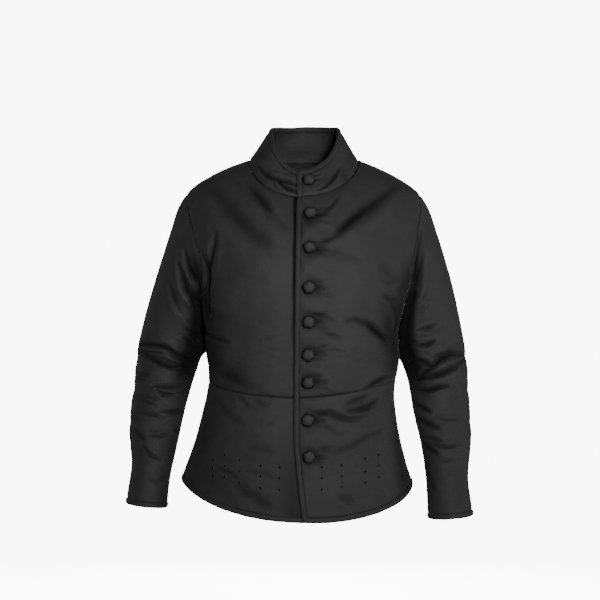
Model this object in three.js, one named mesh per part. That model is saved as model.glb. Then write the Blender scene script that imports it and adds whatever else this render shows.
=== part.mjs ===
// A padded arming doublet, worn and buttoned: a fitted bodice in two fronts and a back, a flared skirt in three
// panels, two-piece sleeves, a standing collar, bound edges and nine cloth-covered buttons.
// Millimetres, +Z up. The front faces -Y and the wearer's left is +X. The origin is where the garment hangs on the
// wearer: the middle of the body, level with the points where the collar meets the shoulders.
import * as THREE from "three";

// ---------------------------------------------------------------- driving sizes
const WALL = 4; // twill, thin wadding and lining, quilted into one wall
const SEAM_GAP = 0.4; // between neighbouring pieces
const LAP_GAP = 1.9; // between the two fronts where they lap
const LAP_WIDTH = 42; // how far the wearer's right front runs on under the left one
const LAP_RAMP = 46; // over which it dips to pass under
const BINDING_WIDTH = 8;
const BINDING_SWELL = 0.5; // the binding stands this far proud of the wall on both sides

const NECK = { right: 97, left: 103, front: 80, back: 74, drop: 70, roundness: 0.7 };
const SHOULDER_TIP = { right: -59, left: -61 }; // height of the sleeve seam on the shoulder
const UNDERARM = { right: -252, left: -256 };
const WAIST = { right: -400, left: -392, frontDip: 25, backDip: 6 };
const HEM = { right: -572, left: -579, frontDip: 61, backDip: 18, fallRight: 1.68, fallLeft: 1.35 };
const COLLAR = {
  frontHeight: 48,
  sideHeight: 60,
  backHeight: 66,
  leanRight: 43,
  leanLeft: 38,
  foreLean: 20,
  backLean: 12,
};
const BUTTON = { radius: 12, height: 13, fromEdge: 24 };

// Grid steps. A seam has the same steps on both of its pieces.
const STEPS = { neckFront: 7, neckBack: 10, shoulder: 5, side: 8, armscye: 9, skirt: 8, collar: 5 };

const table = (columns, rows) =>
  rows.map((row) => Object.fromEntries(columns.map((name, k) => [name, row[k]])));

// Half-widths and depths of the body's level sections, from the neck to the hem.
const SECTIONS = table(
  ["z", "right", "left", "front", "back", "squareness"],
  [
    [0, NECK.right, NECK.left, 0, NECK.back, 2],
    [-14, 137, 138, 0, 83, 2],
    [-29, 166, 168, 0, 91, 2],
    [-43, 189, 191, 0, 97, 2],
    [-59, 207, 211, 70, 102, 2],
    [-70, 210, 215, NECK.front, 105, 2],
    [-90, 212, 218, 91, 110, 2.05],
    [-135, 212, 217, 110, 117, 2.1],
    [-185, 203, 209, 121, 119, 2.15],
    [-216, 193, 200, 125, 116, 2.2],
    [-252, 180, 184, 126, 111, 2.2],
    [-277, 176, 179, 126, 107, 2.2],
    [-302, 173, 170, 125, 104, 2.2],
    [-331, 172, 170, 124, 101, 2.2],
    [-358, 170, 175, 122, 99, 2.2],
    [-388, 168, 170, 121, 98, 2.2],
    [-410, 169, 165, 120, 99, 2.2],
    [-432, 174, 166, 121, 102, 2.2],
    [-461, 180, 169, 124, 107, 2.15],
    [-490, 187, 173, 127, 112, 2.1],
    [-518, 196, 180, 130, 118, 2.1],
    [-547, 208, 188, 133, 125, 2.05],
    [-576, 219, 198, 136, 132, 2],
    [-650, 246, 224, 141, 146, 2],
  ],
);

// Where the finished edge of the lapping front runs, measured from the middle of the body.
const FRONT_EDGE = table(
  ["z", "x"],
  [
    [40, -7],
    [-70, -9],
    [-180, -11],
    [-330, -13],
    [-490, -14],
    [-550, -9],
    [-640, 1],
  ],
);

// Sleeves: each row is one ring, from its outermost to its innermost point, with its middle and half-depth in Y.
const SLEEVE_COLUMNS = ["outX", "outZ", "inX", "inZ", "midY", "halfDepth"];
const SLEEVES = {
  right: table(SLEEVE_COLUMNS, [
    [221, -76, 185, -266, 12, 63],
    [234, -113, 181, -276, 19, 63],
    [248, -155, 178, -288, 24, 64],
    [263, -200, 173, -300, 29, 64],
    [277, -245, 171, -316, 34, 63],
    [290, -293, 171, -334, 38, 61],
    [300, -340, 181, -352, 36, 58],
    [303, -374, 190, -380, 27, 55],
    [305, -410, 200, -412, 17, 52],
    [310, -447, 209, -446, 6, 49],
    [311, -482, 216, -480, -6, 46],
    [308, -516, 223, -514, -17, 43],
    [304, -549, 230, -547, -28, 41],
    [309, -576, 235, -575, -36, 41],
    [312, -603, 238, -611, -43, 42],
  ]),
  left: table(SLEEVE_COLUMNS, [
    [227, -80, 188, -268, 12, 63],
    [240, -115, 182, -278, 20, 63],
    [254, -155, 177, -290, 26, 64],
    [268, -200, 171, -302, 31, 64],
    [280, -245, 168, -317, 36, 63],
    [290, -293, 168, -336, 39, 61],
    [298, -340, 175, -357, 37, 58],
    [301, -376, 187, -384, 27, 55],
    [302, -412, 194, -415, 17, 52],
    [304, -450, 199, -449, 6, 49],
    [305, -484, 206, -482, -6, 46],
    [303, -516, 213, -513, -17, 43],
    [298, -547, 217, -545, -28, 41],
    [296, -573, 220, -572, -35, 41],
    [300, -599, 221, -599, -41, 41],
    [303, -624, 222, -630, -47, 42],
  ]),
};

// Heights of the buttons; the first one is on the collar.
const BUTTON_HEIGHTS = [-43, -102, -161, -230, -289, -346, -394, -460, -523];

// The largest folds of the fronts, as straight troughs; a negative depth is a ridge.
const FRONT_FOLDS = table(
  ["x0", "z0", "x1", "z1", "depth", "width"],
  [
    [110, -100, 32, -150, 3, 15],
    [-88, -52, -20, -118, 3, 12],
    [-160, -180, -158, -222, 4, 11],
    [150, -255, 163, -300, 5, 12],
    [48, -281, 84, -288, 2, 9],
    [82, -288, 160, -330, 3.5, 12],
    [160, -388, 95, -408, -3, 11],
    [88, -438, 148, -434, 3, 10],
    [50, -455, 112, -465, 2.5, 9],
    [-165, -324, -126, -336, 3, 8],
    [-150, -390, -105, -405, 2.5, 12],
    [-112, -428, -80, -445, 2, 10],
  ],
);
const BACK_FOLDS = table(
  ["x0", "z0", "x1", "z1", "depth", "width"],
  [
    [-165, -215, -95, -160, 3.5, 14],
    [165, -215, 95, -160, 3.5, 14],
    [-150, -372, -60, -388, 3, 10],
    [150, -375, 50, -384, 3, 10],
    [-120, -340, -30, -352, 2.5, 11],
    [110, -338, 30, -350, 2, 10],
  ],
);

// The largest folds of the sleeves. "down" runs along the sleeve from its seam, "round" turns about it in degrees
// from the outside (0) by the front (90) to the inside (180).
const SLEEVE_FOLD_COLUMNS = ["down0", "round0", "down1", "round1", "depth", "width"];
const SLEEVE_FOLDS = {
  right: table(SLEEVE_FOLD_COLUMNS, [
    [292, 35, 318, 150, 7, 8],
    [298, 45, 340, 150, 7, 8],
    [292, 65, 318, 120, -4, 11],
    [120, 118, 240, 150, 6, 10],
    [70, 110, 165, 165, 5, 9],
    [190, 60, 262, 100, 2.5, 12],
    [352, 60, 358, 130, 2.5, 7],
    [380, 40, 388, 110, 2, 7],
    [428, 60, 446, 130, 3, 7],
    [300, 190, 300, 260, 6, 12],
    [345, 195, 350, 260, 4, 10],
    [140, 210, 230, 250, 4, 14],
  ]),
  left: table(SLEEVE_FOLD_COLUMNS, [
    [292, 40, 325, 150, 6, 9],
    [325, 50, 345, 150, 5, 8],
    [305, 45, 335, 150, -5, 9],
    [262, 110, 270, 160, 5, 9],
    [90, 115, 215, 150, 4, 11],
    [360, 110, 366, 165, 3, 9],
    [392, 60, 398, 120, 2.5, 7],
    [412, 60, 418, 120, 2, 7],
    [300, 190, 300, 260, 6, 12],
    [345, 195, 350, 260, 4, 10],
    [140, 210, 230, 250, 4, 14],
  ]),
};

// ---------------------------------------------------------------- small tools
const vec = (x, y, z) => new THREE.Vector3(x, y, z);
const mix = (a, b, t) => a + (b - a) * t;
const clamp01 = (t) => Math.min(1, Math.max(0, t));
const ease = (t) => clamp01(t) * clamp01(t) * (3 - 2 * clamp01(t));
const radians = (degrees) => (degrees * Math.PI) / 180;
const span = (from, to, steps) => Array.from({ length: steps + 1 }, (_, k) => mix(from, to, k / steps));

// A smooth value from a table, by its first column, with no overshoot between rows.
function read(rows, along, column, at) {
  const rising = rows[1][along] > rows[0][along] ? 1 : -1;
  let k = 0;
  while (k < rows.length - 2 && rising * at > rising * rows[k + 1][along]) k += 1;
  const [a, b] = [rows[k], rows[k + 1]];
  const slope = (p, q) => (q[column] - p[column]) / (q[along] - p[along]);
  const middle = slope(a, b);
  const bend = (other) => (other * middle <= 0 ? 0 : (2 * other * middle) / (other + middle));
  const slopeA = k > 0 ? bend(slope(rows[k - 1], a)) : middle;
  const slopeB = k < rows.length - 2 ? bend(slope(b, rows[k + 2])) : middle;
  const reach = b[along] - a[along];
  const t = clamp01((at - a[along]) / reach);
  return (
    a[column] * (1 + 2 * t) * (1 - t) ** 2 +
    slopeA * reach * t * (1 - t) ** 2 +
    b[column] * t * t * (3 - 2 * t) +
    slopeB * reach * t * t * (t - 1)
  );
}

// Depth of a soft straight fold at a point, by its distance from the fold's line.
function foldAt(px, pz, x0, z0, x1, z1, depth, width) {
  const [dx, dz] = [x1 - x0, z1 - z0];
  const t = clamp01(((px - x0) * dx + (pz - z0) * dz) / (dx * dx + dz * dz));
  const away = Math.hypot(px - x0 - t * dx, pz - z0 - t * dz) / width;
  return -depth * Math.exp(-away * away);
}

// ---------------------------------------------------------------- the body's surface
const sideOf = (turn) => (Math.sin(turn) < 0 ? "right" : "left");

// Half-width, front and back depth of the section at a height, for one side. Above the front of the neck the front
// depth is what carries the surface through the neck line.
function sectionAt(z, side) {
  const width = read(SECTIONS, "z", side, z);
  const squareness = read(SECTIONS, "z", "squareness", z);
  let front = read(SECTIONS, "z", "front", z);
  if (z > -NECK.drop) {
    const share = Math.max(0, -z / NECK.drop);
    const neckX = NECK[side] * Math.sqrt(1 - share * share);
    front = (NECK.front * share ** NECK.roundness) / Math.sqrt(Math.max(1e-4, 1 - (neckX / (width + 1)) ** 2));
  }
  return { width, front, back: read(SECTIONS, "z", "back", z), squareness };
}

// A point of the body at a height, turned from the front (0) by the wearer's left (a quarter turn) to the back.
function bodyPoint(turn, z) {
  const s = sectionAt(z, sideOf(turn));
  const [across, fore] = [Math.sin(turn), Math.cos(turn)];
  const size = (Math.abs(across) ** s.squareness + Math.abs(fore) ** s.squareness) ** (-1 / s.squareness);
  return vec(s.width * across * size, -(fore > 0 ? s.front : s.back) * fore * size, z);
}

function bodyNormal(turn, z) {
  const step = 0.02;
  const [low, high] = [Math.max(z - 2, -660), Math.min(z + 2, -0.5)];
  const round = bodyPoint(turn + step, z).sub(bodyPoint(turn - step, z));
  const up = bodyPoint(turn, high).sub(bodyPoint(turn, low));
  return round.cross(up).normalize();
}

// The turn that a loose point has on the section at its own height.
function turnOf(p) {
  const s = sectionAt(p.z, p.x < 0 ? "right" : "left");
  return Math.atan2(p.x / s.width, -p.y / Math.max(1, p.y < 0 ? s.front : s.back));
}

const edgeX = (z) => read(FRONT_EDGE, "z", "x", z);
const turnAtX = (x, z) => Math.asin(x / sectionAt(z, x < 0 ? "right" : "left").width);
const overTurn = (z) => turnAtX(edgeX(z) + BINDING_WIDTH, z);
const underTurn = (z) => turnAtX(edgeX(z) + LAP_WIDTH, z);

// The waist seam and the hem stand at their own height on each side, and dip to the front and to the back.
const towardsLeft = (turn) => (1 + Math.sin(turn)) / 2;
const waistZ = (turn) => {
  const ahead = Math.cos(turn);
  const dip = ahead > 0 ? WAIST.frontDip * ahead * ahead : -WAIST.backDip * ahead;
  return mix(WAIST.right, WAIST.left, towardsLeft(turn)) - dip;
};
const hemZ = (turn) => {
  const dip = Math.cos(turn) > 0 ? HEM.frontDip : HEM.backDip;
  const fall = mix(HEM.fallRight, HEM.fallLeft, towardsLeft(turn));
  return mix(HEM.right, HEM.left, towardsLeft(turn)) - dip * Math.abs(Math.cos(turn)) ** fall;
};

// The neck line: level behind, dropping in front.
function neckPoint(turn) {
  const fore = Math.cos(turn);
  const x = NECK[sideOf(turn)] * Math.sin(turn);
  if (fore <= 0) return vec(x, -NECK.back * fore, 0);
  return vec(x, -NECK.front * fore ** NECK.roundness, -NECK.drop * fore);
}

// The sleeve seam: round 0 is the shoulder tip, 90 the front, 180 the underarm, 270 the back.
const ARMSCYE = {
  right: { front: 0.48, frontSkew: 0.3, back: 0.42, backSkew: 0.1 },
  left: { front: 0.36, frontSkew: 0.2, back: 0.42, backSkew: 0.1 },
};
function armscyeTurnAndZ(side, round) {
  const z = mix(SHOULDER_TIP[side], UNDERARM[side], (1 - Math.cos(round)) / 2);
  const forward = Math.sin(round) >= 0;
  const curve = ARMSCYE[side];
  const [share, skew] = forward ? [curve.front, curve.frontSkew] : [curve.back, curve.backSkew];
  const fore = share * Math.sin(round) * (1 - skew * Math.cos(round));
  const turn = Math.acos(fore);
  return { turn: side === "right" ? -turn : turn, z };
}

// ---------------------------------------------------------------- folds and lap
function bodyFold(p) {
  const rows = p.y < 0 ? FRONT_FOLDS : BACK_FOLDS;
  const folds = rows.map((f) => foldAt(p.x, p.z, f.x0, f.z0, f.x1, f.z1, f.depth, f.width));
  return folds.reduce((sum, d) => sum + d, 0) * ease(Math.abs(p.y) / 30);
}

// How far the wearer's right front lies inside the body's surface, to pass under the left one.
const lapDip = (x, z) => (WALL + LAP_GAP) * ease((x - (edgeX(z) - LAP_RAMP)) / (LAP_RAMP - 4));

// ---------------------------------------------------------------- walls of cloth
// A patch is a grid of { point, normal, thick }: columns run the way "round" turns, rows run up, so that columns
// crossed with rows face out. Its four borders draw back by half a seam gap.
function drawBack(patch) {
  const [top, last] = [patch.length - 1, patch[0].length - 1];
  const at = (j, i) => patch[j][i].point;
  const shifts = patch.map((row) => row.map(() => vec(0, 0, 0)));
  const push = (j, i, along, sign) =>
    shifts[j][i].addScaledVector(along.cross(patch[j][i].normal).normalize(), (sign * SEAM_GAP) / 2);
  for (let j = 0; j <= top; j += 1) {
    const up = () => at(Math.min(j + 1, top), 0).clone().sub(at(Math.max(j - 1, 0), 0));
    const upLast = () => at(Math.min(j + 1, top), last).clone().sub(at(Math.max(j - 1, 0), last));
    push(j, 0, up(), 1);
    push(j, last, upLast(), -1);
  }
  for (let i = 0; i <= last; i += 1) {
    const on = (j) => at(j, Math.min(i + 1, last)).clone().sub(at(j, Math.max(i - 1, 0)));
    push(0, i, on(0), -1);
    push(top, i, on(top), 1);
  }
  return patch.map((row, j) => row.map((c, i) => ({ ...c, point: c.point.clone().add(shifts[j][i]) })));
}

// A closed wall from a patch: outer skin, inner skin and the four rims between them.
function wallGeometry(patch) {
  const cells = drawBack(patch);
  const [rows, columns] = [cells.length, cells[0].length];
  const positions = [];
  for (const inward of [0, 1])
    for (const row of cells)
      for (const c of row) {
        const p = c.point.clone().addScaledVector(c.normal, -inward * WALL * c.thick);
        positions.push(p.x, p.y, p.z);
      }
  const outer = (j, i) => j * columns + i;
  const inner = (j, i) => rows * columns + outer(j, i);
  const faces = [];
  const quad = (a, b, c, d) => faces.push(a, b, c, a, c, d);
  for (let j = 0; j < rows - 1; j += 1)
    for (let i = 0; i < columns - 1; i += 1) {
      quad(outer(j, i), outer(j, i + 1), outer(j + 1, i + 1), outer(j + 1, i));
      quad(inner(j, i), inner(j + 1, i), inner(j + 1, i + 1), inner(j, i + 1));
    }
  // both pieces of a seam split its rim the same way, by the place of its two outer corners
  const rank = (j, i) => patch[j][i].point.dot(vec(0.37, 0.11, 1));
  const rim = (j0, i0, j1, i1) => {
    const [a, b, c, d] = [outer(j0, i0), outer(j1, i1), inner(j1, i1), inner(j0, i0)];
    if (rank(j0, i0) > rank(j1, i1)) quad(a, b, c, d);
    else quad(b, c, d, a);
  };
  for (let j = 0; j < rows - 1; j += 1) {
    rim(j, 0, j + 1, 0);
    rim(j + 1, columns - 1, j, columns - 1);
  }
  for (let i = 0; i < columns - 1; i += 1) {
    rim(0, i + 1, 0, i);
    rim(rows - 1, i, rows - 1, i + 1);
  }
  return indexed(positions, faces);
}

function indexed(positions, faces) {
  const geometry = new THREE.BufferGeometry();
  geometry.setAttribute("position", new THREE.Float32BufferAttribute(positions, 3));
  geometry.setIndex(faces);
  geometry.computeVertexNormals();
  return geometry;
}

// A grid of points filled in from its four borders. The shape of the top border fades early on the way down, so that
// rows under the armhole stay level.
const TOP_FADE = 2.6;
function fill(bottom, top, firstSide, lastSide) {
  const [columns, rows] = [bottom.length - 1, firstSide.length - 1];
  const blend = (...terms) => terms.reduce((sum, [p, w]) => sum.addScaledVector(p, w), vec(0, 0, 0));
  return firstSide.map((_, j) =>
    bottom.map((__, i) => {
      const [u, v] = [i / columns, (j / rows) ** TOP_FADE];
      return blend(
        [bottom[i], 1 - v],
        [top[i], v],
        [firstSide[j], 1 - u],
        [lastSide[j], u],
        [bottom[0], -(1 - u) * (1 - v)],
        [bottom[columns], -u * (1 - v)],
        [top[0], -(1 - u) * v],
        [top[columns], -u * v],
      );
    }),
  );
}

// ---------------------------------------------------------------- sleeves
// Rows of a sleeve with the distance down from the seam, measured along its outside.
function sleeveRows(side) {
  const tip = bodyPoint(radians(side === "right" ? -90 : 90), SHOULDER_TIP[side]);
  const under = bodyPoint(radians(side === "right" ? -90 : 90), UNDERARM[side]);
  const first = { outX: Math.abs(tip.x), outZ: tip.z, inX: Math.abs(under.x), inZ: under.z, midY: 0, halfDepth: 62 };
  const rows = [first, ...SLEEVES[side]].map((row) => ({ ...row, down: 0 }));
  rows.forEach((row, k) => {
    if (k > 0) row.down = rows[k - 1].down + Math.hypot(row.outX - rows[k - 1].outX, row.outZ - rows[k - 1].outZ);
  });
  return rows;
}

function sleeveEllipse(rows, side, down, round) {
  const get = (column) => read(rows, "down", column, down);
  const out = vec(get("outX"), get("midY"), get("outZ"));
  const into = vec(get("inX"), get("midY"), get("inZ"));
  const p = out.clone().add(into).multiplyScalar(0.5);
  p.addScaledVector(out.sub(into).multiplyScalar(0.5), Math.cos(round));
  p.y -= get("halfDepth") * Math.sin(round);
  if (side === "right") p.x = -p.x;
  return p;
}

const SLEEVE_SETTLES = 55; // the shape of the seam is lost this far down the sleeve
const ROUNDS = [...span(0, 180, STEPS.armscye), ...span(180, 360, STEPS.armscye).slice(1)].map(radians);

// Rings lie closer together round the elbow, where the sleeve creases.
function sleeveStations(length) {
  const stations = [0];
  const elbow = 322;
  while (stations.at(-1) < length - 8) {
    const last = stations.at(-1);
    const away = Math.abs(last - elbow);
    stations.push(last + mix(9.5, 21, ease((away - 40) / 70)));
  }
  const scale = length / stations.at(-1);
  return stations.map((down) => down * scale);
}

function sleeveRings(side) {
  const rows = sleeveRows(side);
  const length = rows.at(-1).down;
  const seam = ROUNDS.map((round) => {
    const { turn, z } = armscyeTurnAndZ(side, round);
    return bodyPoint(turn, z);
  });
  const stray = ROUNDS.map((round, k) => seam[k].clone().sub(sleeveEllipse(rows, side, 0, round)));
  const stations = sleeveStations(length);
  return stations.map((down) =>
    ROUNDS.map((round, k) => ({
      round,
      down,
      point: sleeveEllipse(rows, side, down, round).addScaledVector(stray[k], Math.exp(-((down / SLEEVE_SETTLES) ** 2))),
    })),
  );
}

// Normals of closed rings, from their neighbours.
function ringNormals(rings, side) {
  const around = ROUNDS.length - 1;
  return rings.map((ring, j) =>
    ring.map((_, k) => {
      const next = ring[(k + 1) % around].point;
      const before = ring[(k - 1 + around) % around].point;
      const down = rings[Math.min(j + 1, rings.length - 1)][k].point;
      const up = rings[Math.max(j - 1, 0)][k].point;
      const n = next.clone().sub(before).cross(up.clone().sub(down)).normalize();
      return side === "left" ? n.negate() : n;
    }),
  );
}

function sleeveFold(side, down, round) {
  const GIRTH_PER_DEGREE = 1;
  const degrees = (round * 180) / Math.PI;
  return SLEEVE_FOLDS[side].reduce((sum, f) => {
    const one = (turned) =>
      foldAt(down, (degrees + turned) * GIRTH_PER_DEGREE, f.down0, f.round0, f.down1, f.round1, f.depth, f.width);
    return sum + one(0) + one(360) + one(-360);
  }, 0);
}

// ---------------------------------------------------------------- mitred seams
// Where two pieces meet at an angle they share one direction through the wall, and a longer way through it.
function mitre(a, b) {
  const normal = a.clone().add(b).normalize();
  return { normal, thick: Math.min(2.2, 1 / Math.max(0.3, normal.dot(a))) };
}

const sleeves = Object.fromEntries(
  ["right", "left"].map((side) => {
    const rings = sleeveRings(side);
    const normals = ringNormals(rings, side);
    const seam = ROUNDS.map((round, k) => {
      const { turn, z } = armscyeTurnAndZ(side, round);
      return mitre(bodyNormal(turn, z), normals[0][k]);
    });
    return [side, { rings, normals, seam }];
  }),
);

// ---------------------------------------------------------------- collar
// The collar's surface: "up" is 0 at the neck line and 1 at the top edge.
function collarPoint(turn, up) {
  const foot = neckPoint(turn);
  const fore = Math.cos(turn);
  const height = fore > 0 ? mix(COLLAR.sideHeight, COLLAR.frontHeight, fore) : mix(COLLAR.sideHeight, COLLAR.backHeight, -fore);
  const leanX = foot.x < 0 ? (COLLAR.leanRight * foot.x) / NECK.right : (COLLAR.leanLeft * foot.x) / NECK.left;
  const leanY = fore > 0 ? (-COLLAR.foreLean * foot.y) / NECK.front : (-COLLAR.backLean * foot.y) / NECK.back;
  // the foot stands a little more upright than the top half
  const inward = mix(up * up, up, 0.75);
  return vec(foot.x - leanX * inward, foot.y + leanY * inward, foot.z + height * up);
}

function collarNormal(turn, up) {
  const step = 0.03;
  const round = collarPoint(turn + step, up).sub(collarPoint(turn - step, up));
  const rise = collarPoint(turn, Math.min(1, up + step)).sub(collarPoint(turn, Math.max(0, up - step)));
  return round.cross(rise).normalize();
}

const COLLAR_TOP = 0.87; // the cloth stops here, and the binding makes the rest of the height
const collarFold = (up) => foldAt(up, 0, 0.52, 0, 0.521, 0, 2.2, 0.14);

function neckSeam(turn) {
  const p = neckPoint(turn);
  const z = Math.min(p.z, -0.5);
  return mitre(bodyNormal(turnOf(vec(p.x, p.y, z)), z), collarNormal(turn, 0));
}

// ---------------------------------------------------------------- the body's panels
const plainCell = (point, turn) => ({ point, normal: bodyNormal(turn, point.z), thick: 1 });

// Side seam from the waist to the underarm, then the sleeve seam up to the shoulder tip.
function sideColumn(side, facing) {
  const turn = radians(side === "right" ? -90 : 90);
  const seamRise = span(waistZ(turn), UNDERARM[side], STEPS.side).map((z) => plainCell(bodyPoint(turn, z), turn));
  const rounds = facing === "front" ? span(180, 0, STEPS.armscye) : span(180, 360, STEPS.armscye);
  const seam = sleeves[side].seam;
  const armscye = rounds.map((degrees) => {
    const { turn: t, z } = armscyeTurnAndZ(side, radians(degrees));
    const k = Math.round((degrees / 360) * (ROUNDS.length - 1));
    return { point: bodyPoint(t, z), ...seam[k] };
  });
  return [...seamRise.slice(0, -1), ...armscye];
}

// Shoulder seam from the neck to the tip, then reversed where a panel needs it the other way.
function shoulderRow(side) {
  const turn = radians(side === "right" ? -90 : 90);
  return span(0, SHOULDER_TIP[side], STEPS.shoulder).map((z) => plainCell(bodyPoint(turn, z), turn));
}

const neckRow = (from, to, steps) => span(from, to, steps).map((turn) => ({ point: neckPoint(turn), ...neckSeam(turn) }));

// The neck line starts and ends on the fronts' edges.
const NECK_OVER = overTurn(-NECK.drop);
const NECK_UNDER = underTurn(-NECK.drop);
const NECK_OVER_TURN = Math.asin((edgeX(-NECK.drop) + BINDING_WIDTH) / NECK.right);
const NECK_UNDER_TURN = Math.asin((edgeX(-NECK.drop) + LAP_WIDTH) / NECK.left);

function bodice(bottom, top, firstSide, lastSide, dip) {
  const grid = fill(...[bottom, top, firstSide, lastSide].map((line) => line.map((c) => c.point)));
  const [lastRow, lastColumn] = [grid.length - 1, grid[0].length - 1];
  return grid.map((row, j) =>
    row.map((p, i) => {
      let cell;
      if (j === lastRow) cell = top[i];
      else if (j === 0) cell = bottom[i];
      else if (i === 0) cell = firstSide[j];
      else if (i === lastColumn) cell = lastSide[j];
      else {
        const turn = turnOf(p);
        cell = plainCell(bodyPoint(turn, p.z), turn);
      }
      const lift = bodyFold(cell.point) - dip(cell.point);
      return { ...cell, point: cell.point.clone().addScaledVector(cell.normal, lift) };
    }),
  );
}

const noDip = () => 0;
const underDip = (p) => lapDip(p.x, p.z);
const riseSteps = STEPS.side + STEPS.armscye;

function frontOver() {
  const start = overTurn(waistZ(0));
  const columns = STEPS.neckFront + STEPS.shoulder;
  const bottom = span(start, radians(90), columns).map((t) => plainCell(bodyPoint(t, waistZ(t)), t));
  const top = [...neckRow(NECK_OVER_TURN, radians(90), STEPS.neckFront).slice(0, -1), ...shoulderRow("left")];
  const edge = span(waistZ(start), top[0].point.z, riseSteps).map((z) => plainCell(bodyPoint(overTurn(z), z), overTurn(z)));
  return bodice(bottom, top, edge, sideColumn("left", "front"), noDip);
}

function frontUnder() {
  const end = underTurn(waistZ(0));
  const columns = STEPS.neckFront + STEPS.shoulder;
  const bottom = span(radians(-90), end, columns).map((t) => plainCell(bodyPoint(t, waistZ(t)), t));
  const neck = neckRow(radians(-90), NECK_UNDER_TURN, STEPS.neckFront);
  const top = [...shoulderRow("right").reverse().slice(0, -1), ...neck];
  const edge = span(waistZ(end), top.at(-1).point.z, riseSteps).map((z) =>
    plainCell(bodyPoint(underTurn(z), z), underTurn(z)),
  );
  return bodice(bottom, top, sideColumn("right", "front"), edge, underDip);
}

function backPanel() {
  const columns = STEPS.neckBack + 2 * STEPS.shoulder;
  const bottom = span(radians(90), radians(270), columns).map((t) => plainCell(bodyPoint(t, waistZ(t)), t));
  const top = [
    ...shoulderRow("left").reverse().slice(0, -1),
    ...neckRow(radians(90), radians(270), STEPS.neckBack),
    ...shoulderRow("right").slice(1),
  ];
  return bodice(bottom, top, sideColumn("left", "back"), sideColumn("right", "back"), noDip);
}

// A skirt panel between two edges, from the hem up to the waist. Each edge is a turn, or a turn that changes with height.
function skirt(fromTurn, toTurn, columns, dip) {
  const turnOn = (edge, z) => (typeof edge === "function" ? edge(z) : edge);
  return span(1, 0, STEPS.skirt).map((down) =>
    span(0, 1, columns).map((u) => {
      const guess = mix(turnOn(fromTurn, waistZ(0)), turnOn(toTurn, waistZ(0)), u);
      const z = mix(waistZ(guess), hemZ(guess) + BINDING_WIDTH, down);
      const turn = down === 0 ? guess : mix(turnOn(fromTurn, z), turnOn(toTurn, z), u);
      const cell = plainCell(bodyPoint(turn, z), turn);
      const lift = bodyFold(cell.point) - dip(cell.point);
      return { ...cell, turn, point: cell.point.clone().addScaledVector(cell.normal, lift) };
    }),
  );
}

const skirtOver = skirt(overTurn, radians(90), STEPS.neckFront + STEPS.shoulder, noDip);
const skirtUnder = skirt(radians(-90), underTurn, STEPS.neckFront + STEPS.shoulder, underDip);
const skirtBack = skirt(radians(90), radians(270), STEPS.neckBack + 2 * STEPS.shoulder, noDip);

// ---------------------------------------------------------------- collar and sleeve walls
// The collar runs from its lapping end, by the wearer's left and the back, to its under end.
function collarPatch() {
  const turns = [
    ...span(NECK_OVER_TURN, radians(90), STEPS.neckFront),
    ...span(radians(90), radians(270), STEPS.neckBack).slice(1),
    ...span(radians(270), radians(360) + NECK_UNDER_TURN, STEPS.neckFront).slice(1),
  ];
  return span(0, COLLAR_TOP, STEPS.collar).map((up) =>
    turns.map((turn) => {
      const base = collarPoint(turn, up);
      const cell = up === 0 ? neckSeam(turn) : { normal: collarNormal(turn, up), thick: 1 };
      const under = turn > Math.PI ? lapDip(base.x, base.z) : 0;
      const fold = up === 0 ? bodyFold(base) : collarFold(up);
      return { ...cell, turn, up, point: base.clone().addScaledVector(cell.normal, fold - under) };
    }),
  );
}

// Half of a two-piece sleeve between two steps of its rings. Rows run up the arm.
function sleevePatch(side, fromStep, toStep) {
  const { rings, normals, seam } = sleeves[side];
  const around = ROUNDS.length - 1;
  const steps = Array.from({ length: toStep - fromStep + 1 }, (_, k) => fromStep + k);
  if (side === "left") steps.reverse();
  return rings
    .map((ring, j) =>
      steps.map((step) => {
        const k = (step + around) % around;
        const cell = j === 0 ? seam[k] : { normal: normals[j][k], thick: 1 };
        const settled = ease(ring[k].down / 30);
        const lift = settled * sleeveFold(side, ring[k].down, ring[k].round) + (j === 0 ? bodyFold(ring[k].point) : 0);
        return { ...cell, point: ring[k].point.clone().addScaledVector(cell.normal, lift) };
      }),
    )
    .reverse();
}

// ---------------------------------------------------------------- bindings
// A rounded strip along an edge. Each stop gives the edge point of the wall's outer skin, the way out through the
// wall and the way on past the edge.
const BINDING_SECTION = table(
  ["past", "out"],
  [
    [0, -0.15],
    [0.12, 0],
    [0.55, 0.02],
    [0.93, -0.15],
    [1, -0.5],
    [0.93, -0.85],
    [0.55, -1.02],
    [0.12, -1],
    [0, -0.85],
  ],
);

function bindingGeometry(run, closed = false) {
  const along = run[1].point.clone().sub(run[0].point);
  const stops = along.cross(run[0].past).dot(run[0].normal) < 0 ? run : [...run].reverse();
  const positions = [];
  const thickness = WALL + 2 * BINDING_SWELL;
  for (const stop of stops)
    for (const corner of BINDING_SECTION) {
      const out = BINDING_SWELL + corner.out * thickness;
      const past = SEAM_GAP / 2 + corner.past * (BINDING_WIDTH - SEAM_GAP / 2);
      const p = stop.point.clone().addScaledVector(stop.normal, out).addScaledVector(stop.past, past);
      positions.push(p.x, p.y, p.z);
    }
  const sides = BINDING_SECTION.length;
  const faces = [];
  const last = closed ? stops.length : stops.length - 1;
  for (let j = 0; j < last; j += 1)
    for (let k = 0; k < sides; k += 1) {
      const [a, b] = [j * sides, ((j + 1) % stops.length) * sides];
      const next = (k + 1) % sides;
      faces.push(a + k, a + next, b + next, a + k, b + next, b + k);
    }
  if (!closed) {
    const end = (stops.length - 1) * sides;
    for (let k = 1; k < sides - 1; k += 1) {
      faces.push(0, k + 1, k);
      faces.push(end, end + k, end + k + 1);
    }
  }
  return indexed(positions, faces);
}

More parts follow.
